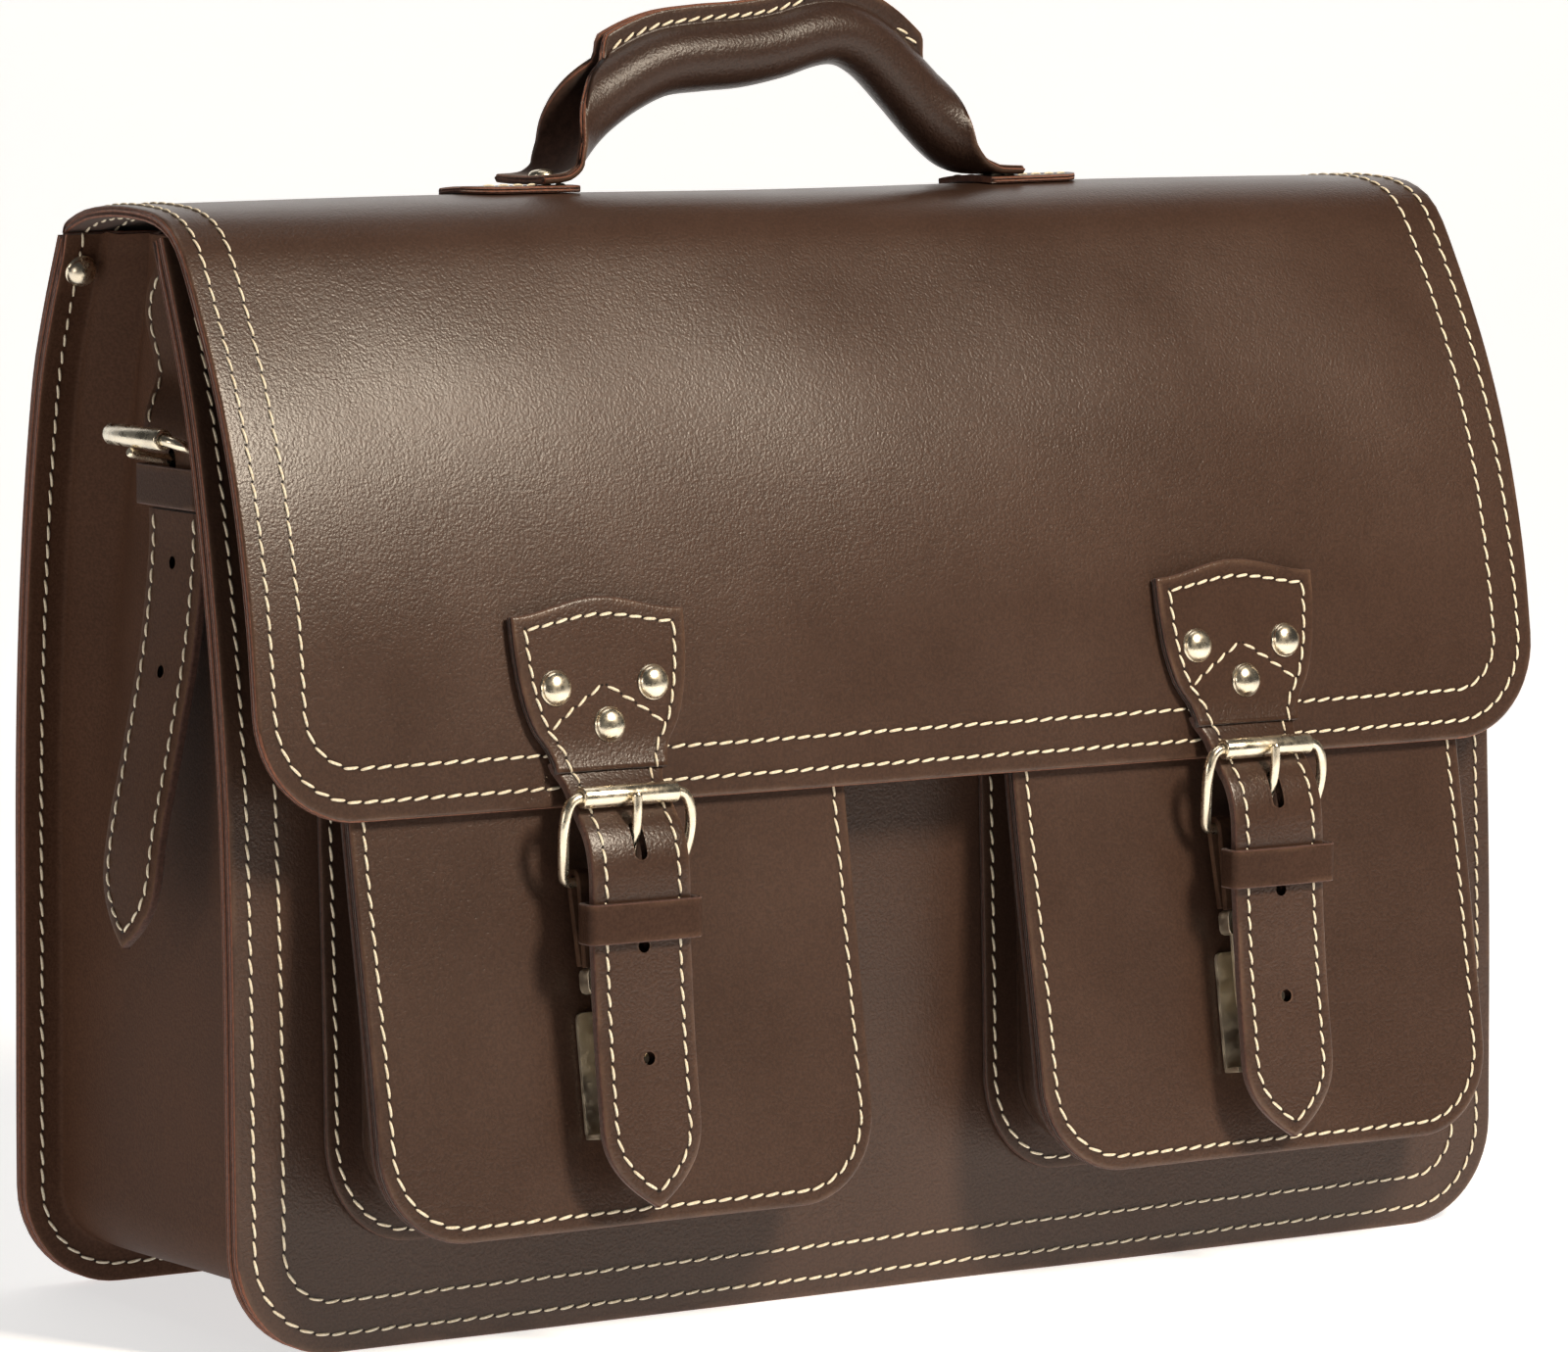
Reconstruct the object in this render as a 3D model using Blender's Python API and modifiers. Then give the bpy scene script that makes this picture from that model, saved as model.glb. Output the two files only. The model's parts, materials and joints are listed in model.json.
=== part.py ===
"""A leather satchel bag: wedge-shaped body, arched flap with a rolled handle, two front pockets,
two buckled closing straps with hidden catches, and a buckled strap on each side.

Every length below is in millimetres. X runs across the bag, Y from front to back and Z up. The
shapes are worked out with Y = 0 on the front panel's face; the root empty then centres the bag.
"""

import math

import bmesh
import bpy
import numpy as np
from mathutils import Matrix, Vector

MM = 0.001
GAP = 0.3  # between pieces that touch
SEAM_GAP = 0.45  # between curved sheets that are sewn together

# Driving dimensions
BAG_WIDTH = 400.0
PANEL_CORNER = 28.0
PANEL_THICK = 3.0
GUSSET_THICK = 2.4
WALL_INSET = 11.0  # from the panels' edges to the gusset's outer face
FLAP_THICK = 3.2
STRAP_THICK = 3.0
STRAP_WIDTH = 29.0
FRONT_MOST = -44.8  # the strap tips' outer faces
BACK_MOST = 124.1
MIDDLE_Y = (FRONT_MOST + BACK_MOST) / 2

# Side-view profiles as (y, z), each from the bottom up, of the faces that show
FRONT_PROFILE = ((0, 0), (0, 15), (1.2, 60), (2, 120), (4, 155), (10.5, 197), (21.1, 245), (35.5, 284))
BACK_PROFILE = ((124, 0), (124, 62), (122, 136), (117.8, 199), (111, 240), (103.8, 261), (93.9, 282.4))
FLAP_PROFILE = (
    (-18.5, 138.5), (-15, 164), (-10.8, 190), (-3.2, 220), (6.5, 246), (19, 270), (28.5, 283.7),
    (39.5, 289.4), (53, 291.1), (66.5, 291.1), (79, 289.7), (87.5, 287.4), (92.3, 285.2), (93.7, 283),
)
FLAP_HALF_WIDTH = (201.5, 198.8)  # at its lower edge and at its hinge
FLAP_PIVOT = (93.7, 282.7)
LEVELS = (28, 55, 85, 110, 128, 142, 155, 175, 195, 215, 235, 252, 267, 280)  # the body's rows, up

# Front pockets
POCKET_X = 101.0
POCKET_HALF_WIDTH = 74.0
POCKET_CORNER = 24.0
POCKET_PROFILE = ((-32.6, 31.5), (-24, 84), (-15, 138), (-12.2, 156))
POCKET_BASE_DROP = 4.0  # how far the sewn flange reaches below the pocket's face
POCKET_GUSSET_THICK = 1.6

# Closing straps, left and right
STRAP_X = (-102.0, 99.0)
TAB_FOOT = 148.3
TAB_OUTLINE = ((148.3, 16.4), (153, 17.8), (159, 21.6), (168, 24.2), (178, 25.4), (187, 25.7))
TAB_PEAK = 4.0
STRAP_PATH = (
    (-19.2, 147.7), (-21.2, 144.8), (-24.0, 141.2), (-27.6, 136.9), (-31.6, 132.2), (-34.0, 126),
    (-34.8, 118), (-34.8, 108), (-35.6, 98), (-37.4, 80), (-40.2, 60), (-43.3, 37.5),
)
STRAP_PIVOT = (-19.0, 148.0)
ROLLER_AT = (-29.2, 142.0)
HEEL_AT = (-24.8, 120.0)
BAR = 1.25
ROLLER_OUTER = 2.8
ROLLER_INNER = 1.6
ROLLER_LENGTH = 28.4
FRAME_HALF_WIDTH = 17.4
FRAME_CORNER = 2.9
KEEPER_HEIGHT = 10.4
KEEPER_AT = (-34.8, 110.5)
RIVET_RADIUS = 4.6
RIVET_HEIGHT = 2.7
TAB_RIVETS = ((-14.5, 168.6), (14.5, 168.6), (0.6, 158.6))

# Spring catch behind each closing strap, measured out from the pocket's face
CATCH_TOP = 86.0
CATCH_HEIGHT = 32.0
CATCH_HALF_WIDTH = 13.0

# Handle
HANDLE_Y = 67.0
HANDLE_PIVOT = (HANDLE_Y, 293.8)
HANDLE_PATH = ((-62.6, 295.0), (-60.8, 298.8), (-52, 306.0), (-41, 314.5), (-28, 319.8), (-13, 321.6), (0, 321.9))
HANDLE_THICK = 2.4
HANDLE_TAB = (61.5, 98.0, 13.0)  # from, to and half its width

# Straps on the sides, as (inwards, up) with the bag's middle at 0
SIDE_STRAP_Y = 45.5
SIDE_STRAP_LEAN = 9.0  # how much further back its sewn end is
SIDE_STRAP_THICK = 2.6
SIDE_LOOP = (
    (-191.5, 213.9), (-191.5, 219), (-191.5, 224.5), (-191.8, 229), (-192.2, 233), (-191.6, 237),
    (-189.3, 241.5), (-186.6, 246.2),
)  # from below the keeper up behind the roller
SIDE_STRAP_TOP = 279.5
SIDE_TAIL = (
    (-191.5, 213.3), (-191.7, 202), (-194.2, 178), (-199.2, 152), (-204.4, 128), (-207.3, 101.5),
)
SIDE_ROLLER_AT = (-202.6, 232.7)
SIDE_HEEL_AT = (-186.0, 230.2)
SIDE_KEEPER_AT = (-191.5, 219.6)
STUD_HEIGHT = 275.5
STUD_INSET = 5.7


def smooth(corners, steps=8):
    """Points on a smooth curve through the corners (Catmull-Rom)."""
    corners = [np.array(corner, float) for corner in corners]
    first = 2 * corners[0] - corners[1]
    last = 2 * corners[-1] - corners[-2]
    padded = [first, *corners, last]
    points = []
    for before, start, end, after in zip(padded, padded[1:], padded[2:], padded[3:]):
        for step in range(steps):
            t = step / steps
            points.append(
                0.5
                * (
                    2 * start
                    + (end - before) * t
                    + (2 * before - 5 * start + 4 * end - after) * t**2
                    + (3 * start - before - 3 * end + after) * t**3
                )
            )
    points.append(corners[-1])
    return np.array(points)


class Profile:
    """A smooth plane curve, measured along its own length. Its normal is on the left of its run."""

    def __init__(self, corners, steps=8):
        self.points = smooth(corners, steps) if steps else np.array(corners, float)
        runs = np.linalg.norm(np.diff(self.points, axis=0), axis=1)
        self.marks = np.concatenate([[0], np.cumsum(runs)])
        self.length = self.marks[-1]
        slopes = np.gradient(self.points, axis=0)
        slopes /= np.linalg.norm(slopes, axis=1)[:, None]
        self.normals = np.stack([-slopes[:, 1], slopes[:, 0]], axis=1)

    def at(self, distance, out=0.0):
        place = [np.interp(distance, self.marks, self.points[:, axis]) for axis in (0, 1)]
        normal = [np.interp(distance, self.marks, self.normals[:, axis]) for axis in (0, 1)]
        return place[0] + out * normal[0], place[1] + out * normal[1]

    def direction(self, distance):
        normal = [np.interp(distance, self.marks, self.normals[:, axis]) for axis in (0, 1)]
        return normal[0], normal[1]

    def moved(self, out):
        return Profile(self.points + out * self.normals, steps=0)

    def y_at(self, z):
        order = np.argsort(self.points[:, 1])
        return float(np.interp(z, self.points[order, 1], self.points[order, 0]))

    def mark_at_z(self, z):
        """How far along the curve it first reaches this height, on a stretch that climbs."""
        return float(np.interp(z, self.points[:, 1], self.marks))

    def mark_at_y(self, y):
        return float(np.interp(y, self.points[:, 0], self.marks))


FRONT = Profile(FRONT_PROFILE)
BACK = Profile(BACK_PROFILE)
FLAP = Profile(FLAP_PROFILE)
POCKET = Profile(POCKET_PROFILE)
STRAP = Profile(STRAP_PATH)


def smoothstep(low, high, value):
    t = min(max((value - low) / (high - low), 0.0), 1.0)
    return t * t * (3 - 2 * t)


class Face:
    """One face of the bag as axes: across it, into the bag, and up."""

    def __init__(self, angle, x, y):
        turn = math.radians(angle)
        self.across = Vector((math.cos(turn), math.sin(turn), 0))
        self.inward = Vector((-math.sin(turn), math.cos(turn), 0))
        self.centre = Vector((x, y, 0))

    def vector(self, across, inward, up):
        return self.across * across + self.inward * inward + Vector((0, 0, up))

    def point(self, across, inward, up):
        return self.centre + self.vector(across, inward, up)


# Scene, materials and body empties


def clear_scene():
    for old in list(bpy.data.objects):
        bpy.data.objects.remove(old, do_unlink=True)


def collection(name):
    made = bpy.data.collections.new(name)
    bpy.context.scene.collection.children.link(made)
    return made


def material(name, color, roughness, metallic=0.0):
    made = bpy.data.materials.new(name)
    made.use_nodes = True
    shader = made.node_tree.nodes["Principled BSDF"]
    shader.inputs["Base Color"].default_value = (*color, 1.0)
    shader.inputs["Roughness"].default_value = roughness
    shader.inputs["Metallic"].default_value = metallic
    made.diffuse_color = (*color, 1.0)
    return made


clear_scene()
PARTS = collection("satchel_bag")
CUTTERS = collection("cutters")
CUTTERS.hide_render = True
LEATHER = (0.060, 0.036, 0.026)
LINING = (0.085, 0.045, 0.032)
NICKEL = (0.72, 0.66, 0.56)


def empty(name, x, y, z, parent):
    made = bpy.data.objects.new(name, None)
    made.empty_display_size = 0.01
    made.location = Vector((x, y, z)) * MM
    made.parent = parent
    PARTS.objects.link(made)
    return made


class Body:
    """An empty on a joint's axis. Pieces added to it keep the bag's own coordinates."""

    def __init__(self, name, x, y, z, parent=None):
        self.place = Vector((x, y, z))
        start = parent.place if parent else Vector()
        self.empty = empty(name, *(self.place - start), parent.empty if parent else None)

    def add(self, piece):
        piece.parent = self.empty
        piece.location = piece.location - self.place * MM
        return piece


def finish_piece(piece, color, roughness, metallic=0.0, smooth_angle=40.0):
    piece.data.materials.clear()
    piece.data.materials.append(material(piece.name, color, roughness, metallic))
    if piece.type == "MESH":
        piece.data.shade_smooth()
        piece.data.set_sharp_from_angle(angle=math.radians(smooth_angle))
    return piece


def mesh_piece(name, bm, where=None):
    mesh = bpy.data.meshes.new(name)
    bm.to_mesh(mesh)
    bm.free()
    piece = bpy.data.objects.new(name, mesh)
    (where or PARTS).objects.link(piece)
    return piece


def solidify(piece, thickness, offset=-1.0):
    modifier = piece.modifiers.new("thickness", "SOLIDIFY")
    modifier.thickness = thickness * MM
    modifier.offset = offset
    modifier.use_even_offset = True


def sheet(name, us, vs, place, thickness, offset=-1.0, turned=False, where=None):
    """A sheet of leather: a grid whose points are put where place(u, v) says, then thickened."""
    bm = bmesh.new()
    columns, rows = len(us) - 1, len(vs) - 1
    bmesh.ops.create_grid(bm, x_segments=columns, y_segments=rows, size=0.5)
    for vert in bm.verts:
        u = us[round((vert.co.x + 0.5) * columns)]
        v = vs[round((vert.co.y + 0.5) * rows)]
        vert.co = Vector(place(u, v)) * MM
    if turned:
        bmesh.ops.reverse_faces(bm, faces=bm.faces)
    piece = mesh_piece(name, bm, where)
    solidify(piece, thickness, offset)
    return piece


def leather(piece, shade=1.0, roughness=0.52):
    return finish_piece(piece, tuple(shade * part for part in LEATHER), roughness)


def metal(piece, roughness=0.25):
    return finish_piece(piece, NICKEL, roughness, 1.0)


def steps_between(start, end, count):
    return [start + (end - start) * step / count for step in range(count + 1)]


def cutter(name, bm):
    piece = mesh_piece(name, bm, CUTTERS)
    piece.parent = ROOT.empty
    piece.hide_render = True
    piece.display_type = "WIRE"
    return piece


def cut(piece, tool):
    modifier = piece.modifiers.new("cut_" + tool.name, "BOOLEAN")
    modifier.operation = "DIFFERENCE"
    modifier.object = tool
    return piece


def box_mesh(low, high):
    bm = bmesh.new()
    bmesh.ops.create_cube(bm, size=1.0)
    low, high = Vector(low), Vector(high)
    for vert in bm.verts:
        unit = vert.co + Vector((0.5, 0.5, 0.5))
        vert.co = Vector([low[i] + (high[i] - low[i]) * unit[i] for i in range(3)]) * MM
    return bm


def place_along(piece, point, forward, across):
    """Turns a piece so that its Z runs forward and its X runs across, and puts it at the point."""
    forward = Vector(forward).normalized()
    across = Vector(across).normalized()
    turned = Matrix((across, forward.cross(across), forward)).transposed()
    piece.matrix_basis = Matrix.Translation(Vector(point) * MM) @ turned.to_4x4()
    return piece


def flat_outline(name, splines, half_height):
    """A flat piece with straight sides: closed outlines in its own XY plane, the later ones holes."""
    curve = bpy.data.curves.new(name, "CURVE")
    curve.dimensions = "2D"
    curve.fill_mode = "BOTH"
    curve.extrude = half_height * MM
    for points in splines:
        spline = curve.splines.new("POLY")
        spline.points.add(len(points) - 1)
        for made, (x, y) in zip(spline.points, points):
            made.co = (x * MM, y * MM, 0, 1)
        spline.use_cyclic_u = True
    piece = bpy.data.objects.new(name, curve)
    PARTS.objects.link(piece)
    return piece


def wire(name, points, radius, closed=False, sides=2):
    """A round wire through the points."""
    curve = bpy.data.curves.new(name, "CURVE")
    curve.dimensions = "3D"
    curve.bevel_depth = radius * MM
    curve.bevel_resolution = sides
    curve.use_fill_caps = True
    spline = curve.splines.new("POLY")
    spline.points.add(len(points) - 1)
    for made, point in zip(spline.points, points):
        made.co = (*(Vector(point) * MM), 1)
    spline.use_cyclic_u = closed
    piece = bpy.data.objects.new(name, curve)
    PARTS.objects.link(piece)
    return piece


def rounded_rectangle(half_x, half_y, radius, per_corner=3):
    points = []
    for quarter in range(4):
        centre_x = (half_x - radius) * (1 if quarter in (0, 3) else -1)
        centre_y = (half_y - radius) * (1 if quarter in (0, 1) else -1)
        for step in range(per_corner):
            turn = math.radians(90 * quarter + 90 * step / (per_corner - 1))
            points.append((centre_x + radius * math.cos(turn), centre_y + radius * math.sin(turn)))
    return points


def circle(radius, count=12):
    turns = (2 * math.pi * step / count for step in range(count))
    return [(radius * math.cos(turn), radius * math.sin(turn)) for turn in turns]


def dome(name, radius, height, point, normal):
    """A domed rivet head: a turned profile standing on the point along the normal."""
    profile = [(0.0, height)]
    for step in range(1, 4):
        turn = math.radians(90 * step / 3)
        profile.append((radius * math.sin(turn), 0.5 + (height - 0.5) * math.cos(turn)))
    profile += [(radius, 0.0), (0.0, 0.0)]
    bm = bmesh.new()
    verts = [bm.verts.new((x * MM, 0, z * MM)) for x, z in profile]
    for start, end in zip(verts, verts[1:]):
        bm.edges.new((start, end))
    piece = mesh_piece(name, bm)
    screw = piece.modifiers.new("turned", "SCREW")
    screw.axis = "Z"
    screw.steps = screw.render_steps = 12
    screw.use_merge_vertices = True
    screw.merge_threshold = 0.0001
    across = Vector((1, 0, 0)) if abs(normal[0]) < 0.9 else Vector((0, 0, 1))
    across -= Vector(normal) * across.dot(Vector(normal))
    return place_along(piece, point, normal, across)


# Bodies, each with an empty on its joint

ROOT = Body("bag", 0, 0, 0)
ROOT.empty.location = Vector((0, -MIDDLE_Y, 0)) * MM
FLAP_BODY = Body("flap_hinge", 0, *FLAP_PIVOT, ROOT)
HANDLE_BODY = Body("handle_tilt", 0, *HANDLE_PIVOT, FLAP_BODY)
SIDES = (("left", -1, 0), ("right", 1, 1))
STRAPS = {side: Body("strap_swing_" + side, STRAP_X[i], *STRAP_PIVOT, FLAP_BODY) for side, _, i in SIDES}


# Panels


def corner_marks(radius, per_corner=5):
    """Distances up from a rounded lower edge, close together round the corners."""
    return [radius * (1 - math.cos(math.radians(90 * step / per_corner))) for step in range(per_corner)]


def bend_marks(profile, start, end, most_turn=9.0, longest=40.0):
    """Distances along a profile, close together where it bends."""
    marks = [start]
    for mark in profile.marks[(profile.marks > start) & (profile.marks < end)]:
        turn = math.degrees(math.acos(min(1, np.dot(profile.direction(marks[-1]), profile.direction(mark)))))
        if turn > most_turn or mark - marks[-1] > longest:
            marks.append(float(mark))
    return marks + [end]


def half_width(distance, full, radius):
    """Half the width of a panel with rounded lower corners, this far up from its lower edge."""
    if distance >= radius:
        return full
    return full - radius + math.sqrt(radius**2 - (radius - distance) ** 2)


def panel(name, profile, full, radius, upper_marks, thickness, centre=0.0, turned=False):
    def place(u, distance):
        y, z = profile.at(distance)
        return centre + u * half_width(distance, full, radius), y, z

    marks = corner_marks(radius) + [*upper_marks, profile.length]
    return sheet(name, [-1, 1], marks, place, thickness, turned=turned)


def pocket_levels():
    low, high = POCKET_PROFILE[0][1] + POCKET_CORNER, POCKET_PROFILE[-1][1]
    return [low] + [z for z in LEVELS if low + 5 < z < high - 5]


def make_panels():
    half = BAG_WIDTH / 2
    for name, profile in (("front_panel", FRONT), ("back_panel", BACK)):
        marks = [profile.mark_at_z(z) for z in LEVELS]
        made = panel(name, profile, half, PANEL_CORNER, marks, PANEL_THICK, turned=profile is BACK)
        ROOT.add(leather(made))
    for side, sign, _ in SIDES:
        marks = [POCKET.mark_at_z(z) for z in pocket_levels()]
        made = panel(
            "pocket_panel_" + side, POCKET, POCKET_HALF_WIDTH, POCKET_CORNER, marks, PANEL_THICK,
            centre=sign * POCKET_X,
        )
        ROOT.add(leather(made))


def u_path(half, low, radius, levels, per_corner):
    """Points round a U, down its left side and up its right, each with its inward normal."""
    path = [(-half, z, 1.0, 0.0) for z in sorted(levels, reverse=True)]
    for step in range(1, per_corner):
        turn = math.radians(90 * step / per_corner)
        path.append((
            -half + radius - radius * math.cos(turn), low + radius - radius * math.sin(turn),
            math.cos(turn), math.sin(turn),
        ))
    path.append((-half + radius, low, 0.0, 1.0))
    return path + [(-x, z, -inward_x, inward_z) for x, z, inward_x, inward_z in reversed(path)]


def u_gusset(name, path, section, front, back, thickness, centre=0.0, drop=0.0, fold=None):
    """A strip bent round a U, its two edges turned out as flanges against the front and the back."""

    def place(station, row):
        x, z, inward_x, inward_z = path[station]
        inset, share, shift = section[row]
        if fold:
            inset += fold(z, share)
        x += inset * inward_x
        z += inset * inward_z - drop * share * inward_z
        start, end = front.y_at(z), back.y_at(z)
        return centre + x, start + share * (end - start) + shift, z

    return sheet(name, list(range(len(path))), list(range(len(section))), place, thickness)


def main_fold(z, share):
    """The side wall draws in towards the top, most of all in a fold beside the back panel."""
    if share <= 0.0 or share >= 1.0:
        return 0.0
    draw = 3.5 * smoothstep(60, 240, z) * smoothstep(0.0, 0.1, share) * (1 - smoothstep(0.8, 1.0, share))
    beside_strap = smoothstep(0.0, 0.1, share) * (1 - smoothstep(0.58, 0.75, share))
    draw += 3.6 * beside_strap * math.exp(-(((z - 228) / 34) ** 2))
    return draw + 8.0 * smoothstep(60, 280, z) * math.exp(-(((share - 0.83) / 0.13) ** 2))


def make_gussets():
    wall = WALL_INSET + GUSSET_THICK
    section = [(0, 0, 0), (wall - 3, 0, 0), (wall - 0.7, 0, 1), (wall, 0, 3.5)]
    section += [(wall, share, 0) for share in (0.1, 0.36, 0.58, 0.7, 0.83, 0.93)]
    section += [(wall, 1, -3.5), (wall - 0.7, 1, -1), (wall - 3, 1, 0), (0, 1, 0)]
    path = u_path(BAG_WIDTH / 2, 0.0, PANEL_CORNER, LEVELS, 5)
    step_in = PANEL_THICK + SEAM_GAP
    made = u_gusset(
        "main_gusset", path, section, FRONT.moved(-step_in), BACK.moved(step_in), GUSSET_THICK,
        fold=main_fold,
    )
    ROOT.add(leather(made, 0.9))
    section = [
        (0, 0, 0), (9, 0, 0), (11.4, 0, 0.7), (12, 0.12, 0.8), (9.5, 0.3, 0.5), (7, 0.5, 0),
        (9.5, 0.7, -0.5), (12, 0.88, -0.8), (11.4, 1, -0.7), (9, 1, 0), (0, 1, 0),
    ]
    low = POCKET_PROFILE[0][1]
    levels = [*pocket_levels(), POCKET_PROFILE[-1][1] - 1]
    path = u_path(POCKET_HALF_WIDTH, low, POCKET_CORNER, levels, 4)
    for side, sign, _ in SIDES:
        made = u_gusset(
            "pocket_gusset_" + side, path, section, POCKET.moved(-step_in), FRONT.moved(SEAM_GAP),
            POCKET_GUSSET_THICK, centre=sign * POCKET_X, drop=POCKET_BASE_DROP,
        )
        ROOT.add(leather(made, 0.8))


def flap_half_width(distance):
    low, high = FLAP_HALF_WIDTH
    full = low + (high - low) * distance / FLAP.length
    return half_width(distance, full, PANEL_CORNER)


def make_flap():
    def place(u, distance):
        y, z = FLAP.at(distance)
        return u * flap_half_width(distance), y, z

    marks = corner_marks(PANEL_CORNER) + bend_marks(FLAP, PANEL_CORNER, FLAP.length)
    FLAP_BODY.add(leather(sheet("flap", [-1, 1], marks, place, FLAP_THICK)))


# Closing straps


def tab_half_width(z):
    heights, halves = zip(*TAB_OUTLINE)
    return float(np.interp(z, heights, halves))


def make_tab(side, centre):
    """The shield-shaped end of the strap, sewn and riveted to the flap."""
    foot = FLAP.mark_at_z(TAB_FOOT)
    top = FLAP.mark_at_z(TAB_OUTLINE[-1][0])

    def place(u, share):
        peak = TAB_PEAK * share**3 * 0.5 * (1 + math.cos(math.pi * u))
        mark = foot + share * (top - foot)
        half = tab_half_width(TAB_FOOT + share * (TAB_OUTLINE[-1][0] - TAB_FOOT))
        y, z = FLAP.at(mark + peak, GAP + STRAP_THICK)
        return centre + u * half, y, z

    shares = [0, 0.12, 0.28, 0.5, 0.75, 1]
    FLAP_BODY.add(leather(sheet("strap_tab_" + side, steps_between(-1, 1, 8), shares, place, STRAP_THICK)))
    for index, (x, z) in enumerate(TAB_RIVETS, 1):
        mark = FLAP.mark_at_z(z)
        y, z = FLAP.at(mark, 2 * GAP + STRAP_THICK)
        normal = FLAP.direction(mark)
        head = dome(
            f"tab_rivet_{side}_{index}", RIVET_RADIUS, RIVET_HEIGHT, (centre + x, y, z), (0, *normal)
        )
        FLAP_BODY.add(metal(head))


def strap_half_width(distance, length, start_half, tip=22.0, half=STRAP_WIDTH / 2):
    """Narrows from the tab, runs parallel, and ends in a pointed arch."""
    left = length - distance
    if left < tip:
        return max(1.2, half * (1 - (1 - left / tip) ** 2.4))
    return half + (start_half - half) * (1 - smoothstep(0, 5, distance))


def hole_cutter(name, point, direction, radius, stretch=0.0, along=(0, 0, 1), length=12.0):
    """A round or, with a stretch, an oblong punch through a strap."""
    outline = []
    for step in range(10):
        turn = 2 * math.pi * step / 10
        shift = stretch / 2 if math.sin(turn) > 0 else -stretch / 2
        outline.append((radius * math.cos(turn), radius * math.sin(turn) + shift))
    bm = bmesh.new()
    direction = Vector(direction).normalized()
    along = (Vector(along) - direction * direction.dot(Vector(along))).normalized()
    across = along.cross(direction)
    rings = []
    for end in (-length / 2, length / 2):
        ring = []
        for x, y in outline:
            ring.append(bm.verts.new((Vector(point) + across * x + along * y + direction * end) * MM))
        rings.append(ring)
    low, high = rings
    bm.faces.new(low)
    bm.faces.new(reversed(high))
    for index in range(len(low)):
        after = (index + 1) % len(low)
        bm.faces.new((low[after], low[index], high[index], high[after]))
    bmesh.ops.recalc_face_normals(bm, faces=bm.faces)
    return cutter(name, bm)


def strap_sheet(name, face, path, start_half, thick, marks, tip=22.0, lean=None):
    """A strap along a path in the plane that cuts the face upright, ending in a pointed arch."""

    def place(u, distance):
        inward, z = path.at(distance)
        across = u * strap_half_width(distance, path.length, start_half, tip)
        return face.point(across + (lean(z) if lean else 0.0), inward, z)

    straight = [mark for mark in marks if mark < path.length - tip - 4]
    ending = [path.length - tip * share for share in (1, 0.75, 0.5, 0.3, 0.15, 0.05, 0)]
    if not tip:
        ending = [path.length]
    return sheet(name, [-1, -0.4, 0.4, 1], straight + ending, place, thick, offset=0.0)


def punch_holes(piece, face, path, heights):
    for index, height in enumerate(heights, 1):
        mark = float(np.interp(-height, -path.points[:, 1], path.marks))
        inward, z = path.at(mark)
        normal = face.vector(0, *path.direction(mark))
        cut(piece, hole_cutter(f"{piece.name}_hole_{index}", face.point(0, inward, z), normal, 1.7))
    return piece


def make_prong(name, heel, roller, lift, climb):
    """The tongue: wire wrapped round the heel bar that then climbs to rest on the roller."""
    along = (roller - heel).normalized()
    radius = 1.15
    wrap = BAR + GAP + radius
    points = []
    for step in range(7):
        turn = math.radians(-200 + 260 * step / 6)
        points.append(heel + (along * math.sin(turn) + lift * math.cos(turn)) * wrap)
    length = (roller - heel).length
    for share, height in climb:
        points.append(heel + along * (length * share) + lift * height)
    return metal(wire(name, points, radius, sides=1))


def make_buckle(prefix, side, face, roller_at, heel_at, climb, body):
    """A roller buckle: the frame on the strap's body, the roller and the tongue each on its own."""
    roller, heel = face.point(0, *roller_at), face.point(0, *heel_at)
    along = (roller - heel).normalized()
    lift = face.across.cross(along)
    middle, reach = (roller + heel) / 2, (roller - heel).length / 2
    outline = rounded_rectangle(FRAME_HALF_WIDTH, reach, FRAME_CORNER, 4)
    points = [middle + face.across * x + along * y for x, y in outline]
    body.add(metal(wire(f"{prefix}buckle_frame_{side}", points, BAR, closed=True, sides=1)))
    tube = flat_outline(
        f"{prefix}buckle_roller_{side}", [circle(ROLLER_OUTER), circle(ROLLER_INNER, 10)], ROLLER_LENGTH / 2
    )
    spin = Body(f"{prefix}roller_spin_{side}", *roller, body)
    spin.add(metal(place_along(tube, roller, face.across, along)))
    pivot = Body(f"{prefix}prong_pivot_{side}", *heel, body)
    pivot.add(make_prong(f"{prefix}buckle_prong_{side}", heel, roller, lift, climb))


def make_keeper(name, face, at, thick):
    """A flat loop of leather round a strap."""
    half = STRAP_WIDTH / 2
    inner = rounded_rectangle(half + 0.6, thick / 2 + 0.6, 0.9)
    outer = rounded_rectangle(half + 2.6, thick / 2 + 2.5, 2.2)
    made = flat_outline(name, [outer, inner], KEEPER_HEIGHT / 2)
    return leather(place_along(made, face.point(0, *at), (0, 0, 1), face.across))


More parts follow.
